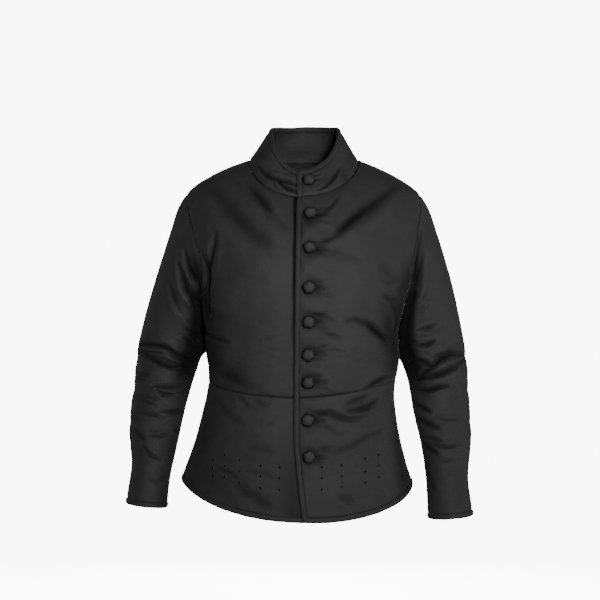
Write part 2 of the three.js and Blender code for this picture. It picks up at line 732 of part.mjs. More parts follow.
// Stops along one border of a patch: "line" is the border's cells and "beside" the ones next to them inside.
function stopsAlong(line, beside) {
  return line.map((cell, k) => {
    const past = cell.point.clone().sub(beside[k].point);
    past.addScaledVector(cell.normal, -past.dot(cell.normal)).normalize();
    return { point: cell.point.clone(), normal: cell.normal, past };
  });
}

// Joins two runs of stops round a corner that they share, turning the strip in even steps.
function roundCorner(first, second, steps = 3) {
  const [a, b] = [first.at(-1), second[0]];
  const turned = span(0, 1, steps).map((t) => {
    const angle = a.past.angleTo(b.past);
    const past = a.past.clone().multiplyScalar(Math.sin((1 - t) * angle));
    past.addScaledVector(b.past, Math.sin(t * angle)).normalize();
    return { point: a.point.clone(), normal: a.normal, past };
  });
  return [...first.slice(0, -1), ...turned, ...second.slice(1)];
}

// Draws an open strip's ends back to leave a seam.
function drawEnds(stops) {
  const pull = (stop, towards) =>
    stop.point.addScaledVector(towards.point.clone().sub(stop.point).normalize(), SEAM_GAP / 2);
  pull(stops[0], stops[1]);
  pull(stops.at(-1), stops.at(-2));
  return stops;
}

const column = (patch, i) => patch.map((row) => row.at(i));

// ---------------------------------------------------------------- buttons
// A stuffed cloth button: a low ball, flat where it sits on the cloth.
function buttonGeometry() {
  const profile = [vec(0, 0, 0), vec(0.55, 0, 0), vec(0.9, 0.16, 0), vec(1, 0.42, 0), vec(0.86, 0.74, 0), vec(0.5, 0.95, 0), vec(0, 1, 0)];
  const points = profile.map((p) => new THREE.Vector2(p.x * BUTTON.radius, p.y * BUTTON.height));
  return new THREE.LatheGeometry(points, 12);
}

function placeButton(mesh, surface) {
  mesh.quaternion.setFromUnitVectors(vec(0, 1, 0), surface.normal);
  mesh.position.copy(surface.point).addScaledVector(surface.normal, 1.2);
  return mesh;
}

function frontSurfaceAt(z) {
  const turn = turnAtX(edgeX(z) + BUTTON.fromEdge, z);
  const point = bodyPoint(turn, z);
  const normal = bodyNormal(turn, z);
  return { point: point.addScaledVector(normal, bodyFold(point)), normal };
}

function collarSurfaceAt(z) {
  const up = (z + NECK.drop) / COLLAR.frontHeight;
  const turn = Math.asin((edgeX(z) + BUTTON.fromEdge) / NECK.left);
  const normal = collarNormal(turn, up);
  return { point: collarPoint(turn, up).addScaledVector(normal, collarFold(up)), normal };
}

// ---------------------------------------------------------------- the doublet
const cloth = new THREE.MeshStandardMaterial({ color: 0x2b2b2c, roughness: 0.82, metalness: 0 });
const edging = new THREE.MeshStandardMaterial({ color: 0x303031, roughness: 0.8, metalness: 0 });
const doublet = new THREE.Group();

function add(name, geometry, material) {
  const mesh = new THREE.Mesh(geometry, material);
  mesh.name = name;
  doublet.add(mesh);
  return mesh;
}

const collar = collarPatch();
const frontLeft = frontOver();
const frontRight = frontUnder();
add("front_left", wallGeometry(frontLeft), cloth);
add("front_right", wallGeometry(frontRight), cloth);
add("back", wallGeometry(backPanel()), cloth);
add("skirt_front_left", wallGeometry(skirtOver), cloth);
add("skirt_front_right", wallGeometry(skirtUnder), cloth);
add("skirt_back", wallGeometry(skirtBack), cloth);
add("collar", wallGeometry(collar), cloth);

// The two pieces of each sleeve meet along its inside and down the back of the arm.
const SLEEVE_SEAM = { front: 9, back: -3 };
for (const side of ["right", "left"]) {
  add(`sleeve_upper_${side}`, wallGeometry(sleevePatch(side, SLEEVE_SEAM.back, SLEEVE_SEAM.front)), cloth);
  add(
    `sleeve_under_${side}`,
    wallGeometry(sleevePatch(side, SLEEVE_SEAM.front, SLEEVE_SEAM.back + ROUNDS.length - 1)),
    cloth,
  );
}

// The bodice and the skirt above and below the waist make one front edge, which turns the corner into the hem.
function frontAndHem(skirtPatch, frontPatch, edge) {
  const beside = edge === 0 ? 1 : -2;
  const both = (at) => [...column(skirtPatch, at).slice(0, -1), ...column(frontPatch, at)];
  const hem = stopsAlong(skirtPatch[0], skirtPatch[1]);
  const front = stopsAlong(both(edge), both(beside)).reverse();
  return drawEnds(roundCorner(front, edge === 0 ? hem : hem.reverse()));
}
add("binding_front_left", bindingGeometry(frontAndHem(skirtOver, frontLeft, 0)), edging);
add("binding_front_right", bindingGeometry(frontAndHem(skirtUnder, frontRight, -1)), edging);
add("binding_hem_back", bindingGeometry(drawEnds(stopsAlong(skirtBack[0], skirtBack[1]))), edging);

const collarEnds = [
  stopsAlong(column(collar, 0), column(collar, 1)),
  stopsAlong(collar.at(-1), collar.at(-2)),
  stopsAlong(column(collar, -1), column(collar, -2)).reverse(),
];
const collarRun = drawEnds(roundCorner(roundCorner(collarEnds[0], collarEnds[1]), collarEnds[2]));
add("binding_collar", bindingGeometry(collarRun), edging);

for (const side of ["right", "left"]) {
  const whole = sleevePatch(side, 0, ROUNDS.length - 1);
  const cuff = stopsAlong(whole[0], whole[1]).slice(0, -1);
  add(`binding_cuff_${side}`, bindingGeometry(cuff, true), edging);
}

BUTTON_HEIGHTS.forEach((z, k) => {
  const surface = k === 0 ? collarSurfaceAt(z) : frontSurfaceAt(z);
  placeButton(add(k === 0 ? "button_collar" : `button_${k}`, buttonGeometry(), edging), surface);
});

export default doublet;
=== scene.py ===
"""A black padded arming doublet: bodice, flared skirt, standing collar, bound edges, covered buttons."""

import math
from functools import partial

import bmesh
import bpy
import numpy as np
from mathutils import Matrix, Vector, noise
from mathutils.bvhtree import BVHTree
from mathutils.kdtree import KDTree


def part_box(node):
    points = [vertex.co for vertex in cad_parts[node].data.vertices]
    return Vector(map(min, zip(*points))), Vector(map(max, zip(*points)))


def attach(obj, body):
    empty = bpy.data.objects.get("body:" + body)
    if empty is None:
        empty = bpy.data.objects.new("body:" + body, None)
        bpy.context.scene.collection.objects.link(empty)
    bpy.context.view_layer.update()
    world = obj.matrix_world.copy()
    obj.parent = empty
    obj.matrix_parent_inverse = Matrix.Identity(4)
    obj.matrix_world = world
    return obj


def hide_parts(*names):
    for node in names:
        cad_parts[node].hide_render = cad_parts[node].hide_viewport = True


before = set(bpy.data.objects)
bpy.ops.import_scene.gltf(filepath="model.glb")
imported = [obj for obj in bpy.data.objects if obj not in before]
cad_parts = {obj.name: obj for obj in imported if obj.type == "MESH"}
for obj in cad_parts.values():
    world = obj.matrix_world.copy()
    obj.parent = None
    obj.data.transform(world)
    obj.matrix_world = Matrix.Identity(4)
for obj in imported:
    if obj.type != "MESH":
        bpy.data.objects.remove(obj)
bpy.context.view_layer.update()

# ------------------------------------------------------------------ camera, sweep and light
# A long lens level with the ribs, a seamless pale studio that is both floor and wall, and soft lamps: a key
# in front and a little to the wearer's left, a weaker fill across from it, one at each side and one behind.
MM = 0.001
CAMERA_PLACE = (-0.0036, -3.2, -0.252)
FRAME_WIDTH, FOCAL_LENGTH = 36, 106.67  # in millimetres
camera_lens = bpy.data.cameras.new("camera")
camera_lens.sensor_width = FRAME_WIDTH
camera_lens.lens = FOCAL_LENGTH
camera = bpy.data.objects.new("camera", camera_lens)
camera.location = CAMERA_PLACE
camera.rotation_euler = (math.radians(90), 0, 0)
bpy.context.scene.collection.objects.link(camera)
bpy.context.scene.camera = camera


def linear(colour):
    """An sRGB hex colour as the linear values that shaders take."""
    parts = [int(colour[k : k + 2], 16) / 255 for k in (1, 3, 5)]
    return tuple(c / 12.92 if c <= 0.04045 else ((c + 0.055) / 1.055) ** 2.4 for c in parts) + (1,)


def plain_material(name, inputs):
    """A material of one plain surface, with its inputs as values."""
    made = bpy.data.materials.new(name)
    made.use_nodes = True
    surface = made.node_tree.nodes["Principled BSDF"]
    for key, value in inputs.items():
        surface.inputs[key].default_value = value
    return made


# The studio: a floor that curves up into a wall all round, so that each side of the doublet is seen against
# the same pale paper. The paper glows evenly, and sheds no light on the cloth.
FLOOR, WALL_TOP = -1.15, 6.0
WALL_RADIUS, COVE_RADIUS = 6.5, 1.2
COVE_STEPS, ROUND_STEPS = 12, 96
PAPER_LIGHT, ROOM_LIGHT = 9.0, 0.045
bm = bmesh.new()
profile = [Vector((0, 0, FLOOR)), Vector((WALL_RADIUS - COVE_RADIUS, 0, FLOOR))]
for step in range(1, COVE_STEPS + 1):
    bend = step / COVE_STEPS * math.pi / 2
    out, up = COVE_RADIUS * (1 - math.sin(bend)), COVE_RADIUS * (1 - math.cos(bend))
    profile.append(Vector((WALL_RADIUS - out, 0, FLOOR + up)))
profile.append(Vector((WALL_RADIUS, 0, WALL_TOP)))
verts = [bm.verts.new(place) for place in profile]
edges = [bm.edges.new(pair) for pair in zip(verts, verts[1:])]
bmesh.ops.spin(
    bm,
    geom=verts + edges,
    cent=(0, 0, 0),
    axis=(0, 0, 1),
    angle=2 * math.pi,
    steps=ROUND_STEPS,
    use_merge=True,
)
bmesh.ops.remove_doubles(bm, verts=bm.verts, dist=MM)
bmesh.ops.recalc_face_normals(bm, faces=bm.faces)
bmesh.ops.reverse_faces(bm, faces=bm.faces)
studio_mesh = bpy.data.meshes.new("studio")
bm.to_mesh(studio_mesh)
bm.free()
studio_mesh.shade_smooth()
studio = bpy.data.objects.new("studio", studio_mesh)
bpy.context.scene.collection.objects.link(studio)
studio.visible_diffuse = studio.visible_glossy = False
paper = plain_material(  # plain, even and without gloss
    "matt backdrop paper",
    {
        "Base Color": linear("#e8e8e7"),
        "Roughness": 0.95,
        "Specular IOR Level": 0.1,
        "Emission Color": linear("#ffffff"),
        "Emission Strength": PAPER_LIGHT,
    },
)
studio_mesh.materials.append(paper)

world = bpy.data.worlds.new("studio")
bpy.context.scene.world = world
world.use_nodes = True
world.node_tree.nodes["Background"].inputs["Color"].default_value = linear("#ffffff")
world.node_tree.nodes["Background"].inputs["Strength"].default_value = ROOM_LIGHT

AIMED_AT = Vector((0.0, 0.0, -0.17))  # the chest
KEY_GRID = math.radians(55)
for lamp_name, place, size, power in (
    ("key", (0.5, -2.85, 0.05), 0.5, 13.2),
    ("fill", (-1.5, -2.2, -0.3), 1.0, 5.5),
    ("rear", (0.0, 2.9, -0.1), 0.6, 95),
    ("left", (2.9, -0.1, -0.05), 0.9, 36),
    ("right", (-2.9, 1.4, -0.1), 0.9, 12),
):
    lamp = bpy.data.lights.new(lamp_name, "AREA")
    lamp.energy = power
    lamp.size = size
    if lamp_name == "key":  # a grid on the lamp keeps its light off the hem and cuffs
        lamp.spread = KEY_GRID
    lamp_object = bpy.data.objects.new(lamp_name, lamp)
    lamp_object.location = place
    lamp_object.rotation_euler = (AIMED_AT - Vector(place)).to_track_quat("-Z", "Y").to_euler()
    lamp_object.visible_camera = False
    bpy.context.scene.collection.objects.link(lamp_object)

# ------------------------------------------------------------------ bodice
# Two fronts and a back, cut from heavy black cotton twill over a thin wadding and a plain lining. The left
# front laps over the right one. Side and shoulder seams are plain, and draw the cloth in a little.
WEAVE_MAP = "weave"  # UV map, in metres along the cloth
EDGE = "edge"  # how rubbed the cloth is, as at the edges of a piece, from 0 to 1
PAINTED_SHADE = "crease"  # how deep in a fold or hollow a point lies, from 0 to 1: the mask of painted shade
CORNER_BEND = 1.15  # an edge that turns more than this, in radians, is a corner of the solid
CORNER_STEP = 2  # millimetres between the points along a corner


def cloth_copy(node, softness=0.95, levels=3):
    """A smooth copy of a solid's surface, with its corners rounded, and the points along its corners."""
    name = f"{node}_cloth"
    bm = bmesh.new()
    bm.from_mesh(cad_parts[node].data)
    bmesh.ops.remove_doubles(bm, verts=bm.verts, dist=0.01 * MM)
    # Pairs of triangles become quads, which divide evenly.
    bmesh.ops.join_triangles(bm, faces=bm.faces, angle_face_threshold=0.9, angle_shape_threshold=1.2)
    crease = bm.edges.layers.float.new("crease_edge")
    corners = []
    for edge in bm.edges:
        if edge.is_manifold and edge.calc_face_angle() > CORNER_BEND:
            edge[crease] = softness
            a, b = (vert.co for vert in edge.verts)
            steps = max(1, int((b - a).length / (CORNER_STEP * MM)))
            corners += [a.lerp(b, k / steps) for k in range(steps)]
    rough = bpy.data.meshes.new(name + ".rough")
    bm.to_mesh(rough)
    bm.free()
    piece = bpy.data.objects.new(name, rough)
    bpy.context.scene.collection.objects.link(piece)
    smoothing = piece.modifiers.new("smoothing", "SUBSURF")
    smoothing.levels = smoothing.render_levels = levels
    graph = bpy.context.evaluated_depsgraph_get()
    piece.data = bpy.data.meshes.new_from_object(piece.evaluated_get(graph), depsgraph=graph)
    piece.data.name = name
    piece.modifiers.clear()
    bpy.data.meshes.remove(rough)
    piece.data.shade_smooth()
    return piece, corners


def read_points(mesh, what="co"):
    values = np.zeros(len(mesh.vertices) * 3)
    if what == "co":
        mesh.vertices.foreach_get("co", values)
    else:
        mesh.vertex_normals.foreach_get("vector", values)
    return values.reshape(-1, 3)


def write_points(mesh, points):
    mesh.vertices.foreach_set("co", points.reshape(-1))
    mesh.update()


def nearness(points, corners, reach):
    """1 at the given corner points, falling to 0 at reach from them."""
    tree = KDTree(len(corners))
    for k, corner in enumerate(corners):
        tree.insert(corner, k)
    tree.balance()
    away = np.array([tree.find(p)[2] for p in points]) / reach
    rest = 1 - np.clip(away, 0, 1)
    return rest * rest * (3 - 2 * rest)


def along_line(points, line):
    """For each point, its nearest place on a line of points in millimetres, and how far along that is."""
    line = np.array(line, float) * MM
    best = np.full(len(points), 1e9)
    foot, run, done = np.zeros_like(points), np.zeros(len(points)), 0.0
    for a, b in zip(line[:-1], line[1:]):
        step = b - a
        length = np.linalg.norm(step)
        t = np.clip((points - a) @ step / length**2, 0, 1)
        near = a + t[:, None] * step
        away = np.linalg.norm(points - near, axis=1)
        closer = away < best
        best[closer] = away[closer]
        foot[closer] = near[closer]
        run[closer] = (done + t * length)[closer]
        done += length
    return foot, run


SEEN_FROM = {  # the axis across, and the way that the cloth faces there
    "front": ((1, 0, 0), (0, -1, 0)),
    "back": ((1, 0, 0), (0, 1, 0)),
    "left": ((0, 1, 0), (1, 0, 0)),
    "right": ((0, 1, 0), (-1, 0, 0)),
}


def each_by_side(tables):
    """Every row of some tables by side, with its side in front."""
    return [(side, *row) for side, rows in tables.items() for row in rows]


FOLD_REACH = 4.5  # how many widths away a fold still moves the cloth
LIP_BELOW, LIP_ABOVE = 0.5, 0.25  # heights of a fold's lips, as shares of its depth
FULL_CREASE = 4.5  # a fold this many millimetres deep gets the full painted shade


def fold_depths(points, facing_out, folds):
    """How far each point moves out for the folds, and how much painted shade its crease gives it, from 0 to
    1. A fold follows a line as it is seen from one side: a trough with a raised lip on each side, the fuller
       one below,
    fine at both ends. A negative depth makes a ridge, and a line of one point a round dimple."""
    total, creased = np.zeros(len(points)), np.zeros(len(points))
    for side, depth, width, line in each_by_side(folds):
        across_axis, facing_axis = (np.array(axis, float) for axis in SEEN_FROM[side])
        facing = np.clip(facing_out @ facing_axis * 3.2 - 0.1, 0, 1)
        seen = np.stack([points @ across_axis, points[:, 2]], 1) / MM
        low, high = np.min(line, 0) - FOLD_REACH * width, np.max(line, 0) + FOLD_REACH * width
        near = np.flatnonzero((facing > 0) & np.all((seen > low) & (seen < high), 1))
        seen = seen[near]
        best, off, run, done = np.full(len(near), 1e9), np.zeros(len(near)), np.zeros(len(near)), 0.0
        for a, b in zip(line, line[1:]):
            step = np.subtract(b, a)
            length = math.hypot(*step)
            t = np.clip((seen - a) @ step / length**2, 0, 1)
            gap = seen - a - t[:, None] * step
            away = np.hypot(gap[:, 0], gap[:, 1])
            above = np.sign(gap[:, 1] * step[0] - gap[:, 0] * step[1]) * math.copysign(1, step[0])
            closer = away < best
            best[closer], off[closer] = away[closer], (away * above)[closer]
            run[closer] = (done + t * length)[closer]
            done += length
        if len(line) > 1:
            swell = np.sin(math.pi * np.clip(0.04 + 0.92 * run / done, 0, 1))
        else:
            off = seen[:, 1] - line[0][1]
            best, swell = np.hypot(seen[:, 0] - line[0][0], off), np.ones(len(near))
        spread = width * (0.65 + 0.45 * swell)
        strength = facing[near] * swell**0.45
        bottom = np.interp(width, (7, 14), (1.3, 1.9))  # a narrow fold is creased, a wide one is soft
        trough = np.exp(-((best / spread) ** bottom))
        lip = np.where(off < 0, LIP_BELOW, LIP_ABOVE) * np.exp(-(((best - 2 * spread) / (1.1 * spread)) ** 2))
        total[near] -= depth * MM * strength * (trough - lip)
        creased[near] += min(1.0, depth / FULL_CREASE) * strength * trough
    return total, np.clip(creased, 0, 1)


WRINKLE_LENGTH = 4.0  # a crease runs on for this many spacings
WRINKLE_FLANK = 0.2  # how much of the noise's height a valley takes in


def wrinkle_depths(points, facing_out, fields):
    """Small creases where the cloth has often been bent: sharp valleys that wander along the quiet lines of a
    stretched noise. A field is a middle, its half width and height, the creases' slant, their spacing, depth
    and a seed."""
    total = np.zeros(len(points))
    for side, x, z, wide, tall, slant, spacing, depth, seed in each_by_side(fields):
        across_axis, facing_axis = (np.array(axis, float) for axis in SEEN_FROM[side])
        across = points @ across_axis / MM - x
        up = points[:, 2] / MM - z
        window = np.exp(-((across / wide) ** 2) - (up / tall) ** 2)
        window *= np.clip(facing_out @ facing_axis * 2.2 - 0.2, 0, 1)
        near = window > 0.03
        along = (across * math.cos(slant) + up * math.sin(slant))[near] / (WRINKLE_LENGTH * spacing)
        over = (up * math.cos(slant) - across * math.sin(slant))[near] / spacing
        wander = [0.35 * math.sin(3.1 * a + seed) for a in along]
        quiet = np.abs([noise.noise((a, o + w, seed)) for a, o, w in zip(along, over, wander)])
        valley = np.clip(1 - quiet / WRINKLE_FLANK, 0, 1) ** 1.5
        total[near] -= depth * MM * window[near] * (valley - 0.9 * quiet)
    return total


def unevenness(points, heights):
    """Soft lumps of the wadding and small pulls of the cloth: rows of height, size across, along y and up,
    and a shift of the noise."""
    total = np.zeros(len(points))
    for height, size_x, size_y, size_z, shift in heights:
        scale = np.array([1 / size_x, 1 / size_y, 1 / size_z]) / MM
        moved = points * scale + shift
        total += height * MM * np.array([noise.noise(p) for p in moved])
    return total


def weave_map(mesh, foot, run, radius, turned):
    """Lays the weave round a middle line: across by the turn about it, and up by the run along it. The turn
    starts from the way that the piece faces, so that its jump falls behind."""
    out = read_points(mesh) - foot
    ahead = np.array((turned[0], turned[1], 0), float)
    aside = np.array((-turned[1], turned[0], 0), float)
    turn = np.arctan2(out @ aside, out @ ahead)
    across = turn * radius * MM
    whole = 2 * math.pi * radius * MM
    corners = np.zeros(len(mesh.loops), int)
    mesh.loops.foreach_get("vertex_index", corners)
    starts = np.zeros(len(mesh.polygons), int)
    mesh.polygons.foreach_get("loop_start", starts)
    sizes = np.zeros(len(mesh.polygons), int)
    mesh.polygons.foreach_get("loop_total", sizes)
    u = across[corners]
    first = np.repeat(u[starts], sizes)
    u = u + whole * np.round((first - u) / whole)
    layer = mesh.uv_layers.new(name=WEAVE_MAP)
    layer.uv.foreach_set("vector", np.stack([u, run[corners]], 1).reshape(-1))


def set_value(mesh, name, values):
    mesh.attributes.new(name, "FLOAT", "POINT").data.foreach_set("value", values.astype(np.float32))


BODY_LINE = [(0, 0, 120), (0, 0, -760)]
corners_of = {}  # the points along each solid's corners
LINING_SIDE = 1  # the lining's place among the materials of a piece
SEAM_FULLNESS = 0.55  # the wadding swells into the seams and closes them
SEAM_REACH, SEAM_SHADE = 3.2, 0.75  # how far the painted shade of a seam reaches, and how deep it is
SEWN_REACH, SEWN_SHARE = 10, 0.35  # near a seam only this share of a fold is left
EDGE_WEAR = 0.1


def dress(
    node, line, radius, folds, wrinkles, lumps,
    edge_reach=7, tuck=0.8, turned=(0, 1), hold=None, swell=None, painted_shade_of=None,
):
    """A cloth piece over one solid: smoothed, folded, drawn in at its edges, with its weave laid round a
    line. Where it is held, its folds and their painted shade fade and the lap's painted shadow is added;
    swell adds fullness, and the last argument finds more places to paint in shade."""
    piece, corners = cloth_copy(node)
    corners_of[node] = corners
    mesh = piece.data
    points, normals = read_points(mesh), read_points(mesh, "normals")
    foot, run = along_line(points, line)
    out = points - foot
    out /= np.linalg.norm(out, axis=1)[:, None]
    outside = np.clip(np.einsum("ij,ij->i", normals, out) * 3, -1, 1)  # 1 on the face, -1 on the lining
    facing_out = normals * outside[:, None]
    edge = nearness(points, corners, edge_reach * MM)
    folded, creased = fold_depths(points, facing_out, folds)
    move = folded + wrinkle_depths(points, facing_out, wrinkles)
    move += unevenness(points, lumps) * (0.3 + 0.7 * np.abs(facing_out[:, 1]))
    free = 1 - nearness(points, corners, SEWN_REACH * MM)
    if hold is not None:
        free = free * hold(points)
    move = move * (SEWN_SHARE + (1 - SEWN_SHARE) * free)
    if swell is not None:
        move = move + swell(points, facing_out)
    seam_walls = SEAM_FULLNESS * MM * (1 - np.abs(outside))
    drawn_in = tuck * MM * edge * np.clip(outside, 0, 1)
    points = points + facing_out * move[:, None] + normals * (seam_walls - drawn_in)[:, None]
    write_points(mesh, points)
    set_value(mesh, EDGE, EDGE_WEAR * edge * np.clip(outside, 0, 1))
    # Painted shade: the crease mask also darkens the seams, the strip beside the lap and the places found by
    # the last argument.
    seam = SEAM_SHADE * nearness(points, corners, SEAM_REACH * MM)
    if hold is not None:
        creased = creased * hold(points) + beside_lap(points)
    if painted_shade_of is not None:
        creased = np.maximum(creased, painted_shade_of(points, facing_out))
    set_value(mesh, PAINTED_SHADE, np.clip(np.maximum(creased, seam), 0, 1))
    foot, run = along_line(points, line)
    weave_map(mesh, foot, run, radius, turned)
    mesh.materials.clear()
    mesh.materials.append(twill)
    mesh.materials.append(lining)
    sides = np.array([polygon.center for polygon in mesh.polygons])
    facing = np.array([polygon.normal for polygon in mesh.polygons])
    inner, _ = along_line(sides, line)
    inward = np.einsum("ij,ij->i", facing, sides - inner) < 0
    mesh.polygons.foreach_set("material_index", np.where(inward, LINING_SIDE, 0).astype(np.int32))
    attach(piece, "root")
    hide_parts(node)
    return piece


def add_node(tree, kind, inputs=None, **settings):
    """Adds a shader node, with its settings, and its inputs as values or as links from other nodes."""
    made = tree.nodes.new("ShaderNode" + kind)
    for name, value in settings.items():
        setattr(made, name, value)
    for name, value in (inputs or {}).items():
        if isinstance(value, bpy.types.NodeSocket):
            tree.links.new(value, made.inputs[name])
        else:
            made.inputs[name].default_value = value
    return made


PAINTED_SHADE_BLACK = "#0a0a0b"  # the painted shade that creases, seams and hollows are darkened towards
PAINTED_SHADE_DEPTH = 0.94  # how far the painted shade at the bottom of a crease goes towards that black


def woven_cloth(name, shade, light, wear, rib, rib_height, specular):
    """A heavy woven cotton: diagonal ribs of the weave, thread slubs, a soft mottle, paler worn edges, and
    painted shade in its creases and hollows.
    """
    made = bpy.data.materials.new(name)
    made.use_nodes = True
    tree = made.node_tree
    tree.nodes.clear()
    add = partial(add_node, tree)
    cloth = add("UVMap", uv_map=WEAVE_MAP).outputs["UV"]
    body = add("TexCoord").outputs["Object"]
    # One wave of the diagonal bands is 0.628 / scale long, measured level.
    ribs = add(
        "TexWave",
        {"Vector": cloth, "Scale": 0.628 / (rib * MM), "Distortion": 1.2, "Detail": 1.0, "Detail Scale": 1.4},
        bands_direction="DIAGONAL",
    )
    # Slubs: threads 0.8 mm thick that thicken for about 4 mm at a time, along the ribs.
    thread = add(
        "Mapping",
        {"Vector": cloth, "Rotation": (0, 0, math.radians(-45)), "Scale": (1 / (4 * MM), 1 / (0.8 * MM), 1)},
    )
    slubs = add("TexNoise", {"Vector": thread.outputs["Vector"], "Scale": 1.0, "Detail": 3.0})
    # Uneven dye in patches 55 mm across, and a nap of fibres that clump every 1.4 mm.
    mottle = add("TexNoise", {"Vector": body, "Scale": 1 / (55 * MM), "Detail": 4.0, "Roughness": 0.6})
    fuzz = add("TexNoise", {"Vector": body, "Scale": 1 / (1.4 * MM), "Detail": 2.0})
    tone = add(
        "MapRange",
        {"Value": mottle.outputs["Fac"], "From Min": 0.32, "From Max": 0.68},
        interpolation_type="SMOOTHSTEP",
    )
    dyed = add("Mix", {0: tone.outputs["Result"], 6: linear(shade), 7: linear(light)}, data_type="RGBA")
    flecks = add(
        "MapRange", {"Value": slubs.outputs["Fac"], "From Min": 0.55, "From Max": 0.8, "To Max": 0.35}
    )
    flecked = add("Mix", {0: flecks.outputs["Result"], 6: dyed.outputs[2], 7: linear(wear)}, data_type="RGBA")
    worn = add("Attribute", attribute_name=EDGE)
    patches = add(
        "Math", {0: worn.outputs["Fac"], 1: mottle.outputs["Fac"]}, operation="MULTIPLY", use_clamp=True
    )
    rubbed = add(
        "Mix", {0: patches.outputs["Value"], 6: flecked.outputs[2], 7: linear(wear)}, data_type="RGBA"
    )
    # Painted shade: the crease mask darkens the colour towards black and dulls the specular, standing in for
    # the shade inside folds, seams and hollows.
    deep = add("Attribute", attribute_name=PAINTED_SHADE)
    shade_amount = add("Math", {0: deep.outputs["Fac"], 1: PAINTED_SHADE_DEPTH}, operation="MULTIPLY")
    folded = add(
        "Mix", {0: shade_amount.outputs["Value"], 6: rubbed.outputs[2], 7: linear(PAINTED_SHADE_BLACK)}, data_type="RGBA"
    )
    shine = add("MapRange", {"Value": deep.outputs["Fac"], "To Min": specular, "To Max": 0.03})
    # Three reliefs, one on the other: the ribs, the slubs and the nap.
    under = {}
    for pattern, strength, height in ((ribs, 0.35, rib_height), (slubs, 0.4, 0.25), (fuzz, 0.3, 0.3)):
        relief = {"Height": pattern.outputs["Fac"], "Strength": strength, "Distance": height * MM}
        under = {"Normal": add("Bump", relief | under).outputs["Normal"]}
    dull = add("MapRange", {"Value": mottle.outputs["Fac"], "To Min": 0.64, "To Max": 0.74})
    surface = add(
        "BsdfPrincipled",
        {
            "Base Color": folded.outputs[2],
            "Roughness": dull.outputs["Result"],
            "IOR": 1.5,
            "Specular IOR Level": shine.outputs["Result"],
            "Sheen Weight": 0.03,
            "Sheen Roughness": 0.4,
            "Normal": under["Normal"],
        },
    )
    add("OutputMaterial", {"Surface": surface.outputs["BSDF"]})
    return made


# Black cotton twill, piece-dyed and lightly brushed: neutral black with a soft broad sheen. The real ribs are
# 0.7 mm apart, too fine to show from a few steps away, so they are drawn 1.6 mm apart.
twill = woven_cloth("black cotton twill", "#1d1d1e", "#222223", "#373738", 1.6, 0.2, 0.17)
# Plain black cotton lining: flatter and a little greyer, with an even weave.
lining = woven_cloth("black cotton lining", "#1d1d1e", "#242425", "#303031", 1.2, 0.1, 0.1)

# Folds by the side that they are seen from: depth, width, and the line that each follows, across and up, in
# millimetres.
FRONT_FOLDS = {
    "front": [
        (3.2, 8, [(-97, -44), (-62, -88), (-31, -116), (-9, -138)]),
        (1.2, 5, [(-88, -53), (-69, -74), (-52, -91), (-38, -101)]),
        (2.8, 15, [(-160, -55), (-114, -106), (-83, -137), (-40, -162)]),
        (-1.6, 5, [(-170, -114), (-168, -141), (-165, -172)]),
        (4.6, 5, [(-151, -138), (-158, -169), (-163, -197), (-166, -235)]),
        (4.2, 4, [(-177, -165), (-170, -186), (-165, -217), (-163, -252), (-165, -294)]),
        (2.6, 8, [(-165, -273), (-152, -281), (-135, -283)]),
        (4.6, 3.5, [(-170, -313), (-149, -320), (-126, -326)]),
        (2.2, 12, [(-156, -363), (-128, -384), (-87, -408)]),
        (1.2, 5, [(-149, -380), (-132, -389), (-107, -399)]),
        (1.3, 3, [(-76, -323), (-45, -318), (-11, -309)]),
        (2.2, 5.5, [(31, -155), (54, -140), (76, -122), (104, -98)]),
        (4.0, 10, [(66, -129), (93, -105), (121, -86), (163, -51)]),
        (2.6, 3, [(28, -105), (41, -96), (52, -86), (64, -70)]),
        (1.2, 8, [(24, -167), (62, -167), (100, -181)]),
        (3.2, 6, [(142, -247), (156, -255), (163, -273), (164, -290), (159, -311)]),
        (2.4, 2.6, [(12, -276), (28, -278), (45, -283), (59, -290)]),
        (3.2, 4.5, [(76, -290), (93, -287), (114, -295), (135, -311), (149, -325)]),
        (2.9, 9, [(114, -297), (138, -316), (156, -339), (166, -359)]),
        (1.8, 4, [(31, -304), (48, -313), (69, -321)]),
        (1.4, 3, [(24, -342), (48, -339), (74, -342)]),
        (4.4, 4, [(90, -420), (107, -415), (124, -401), (142, -392), (163, -389)]),
        (1.6, 2.4, [(118, -410), (138, -404), (159, -397)]),
        (1.6, 7, [(138, -186), (149, -204), (163, -217)]),
        (1.2, 5, [(135, -219), (152, -224), (169, -219)]),
    ],
}
BACK_FOLDS = {
    "back": [
        (2.7, 12, [(150, -120), (106, -137), (70, -168)]),
        (2.4, 12, [(-150, -116), (-110, -131), (-78, -160)]),
        (2.4, 10, [(60, -30), (0, -39), (-60, -32)]),
        (2.4, 8, [(-120, -352), (-75, -353), (-30, -362)]),
        (2.4, 8, [(122, -346), (77, -349), (34, -360)]),
        (1.5, 7, [(-90, -322), (-55, -323), (-20, -330)]),
        (1.7, 7, [(96, -318), (58, -320), (20, -327)]),
        (2.1, 9, [(150, -260), (123, -279), (104, -306)]),
        (2.1, 9, [(-152, -258), (-127, -275), (-110, -300)]),
    ],
    "left": [
        (2.1, 8, [(-40, -300), (-4, -305), (30, -318)]),
        (2.0, 7, [(-20, -352), (16, -353), (50, -362)]),
    ],
    "right": [
        (2.1, 8, [(-30, -296), (6, -300), (40, -312)]),
        (2.0, 7, [(-40, -350), (1, -353), (40, -364)]),
    ],
}
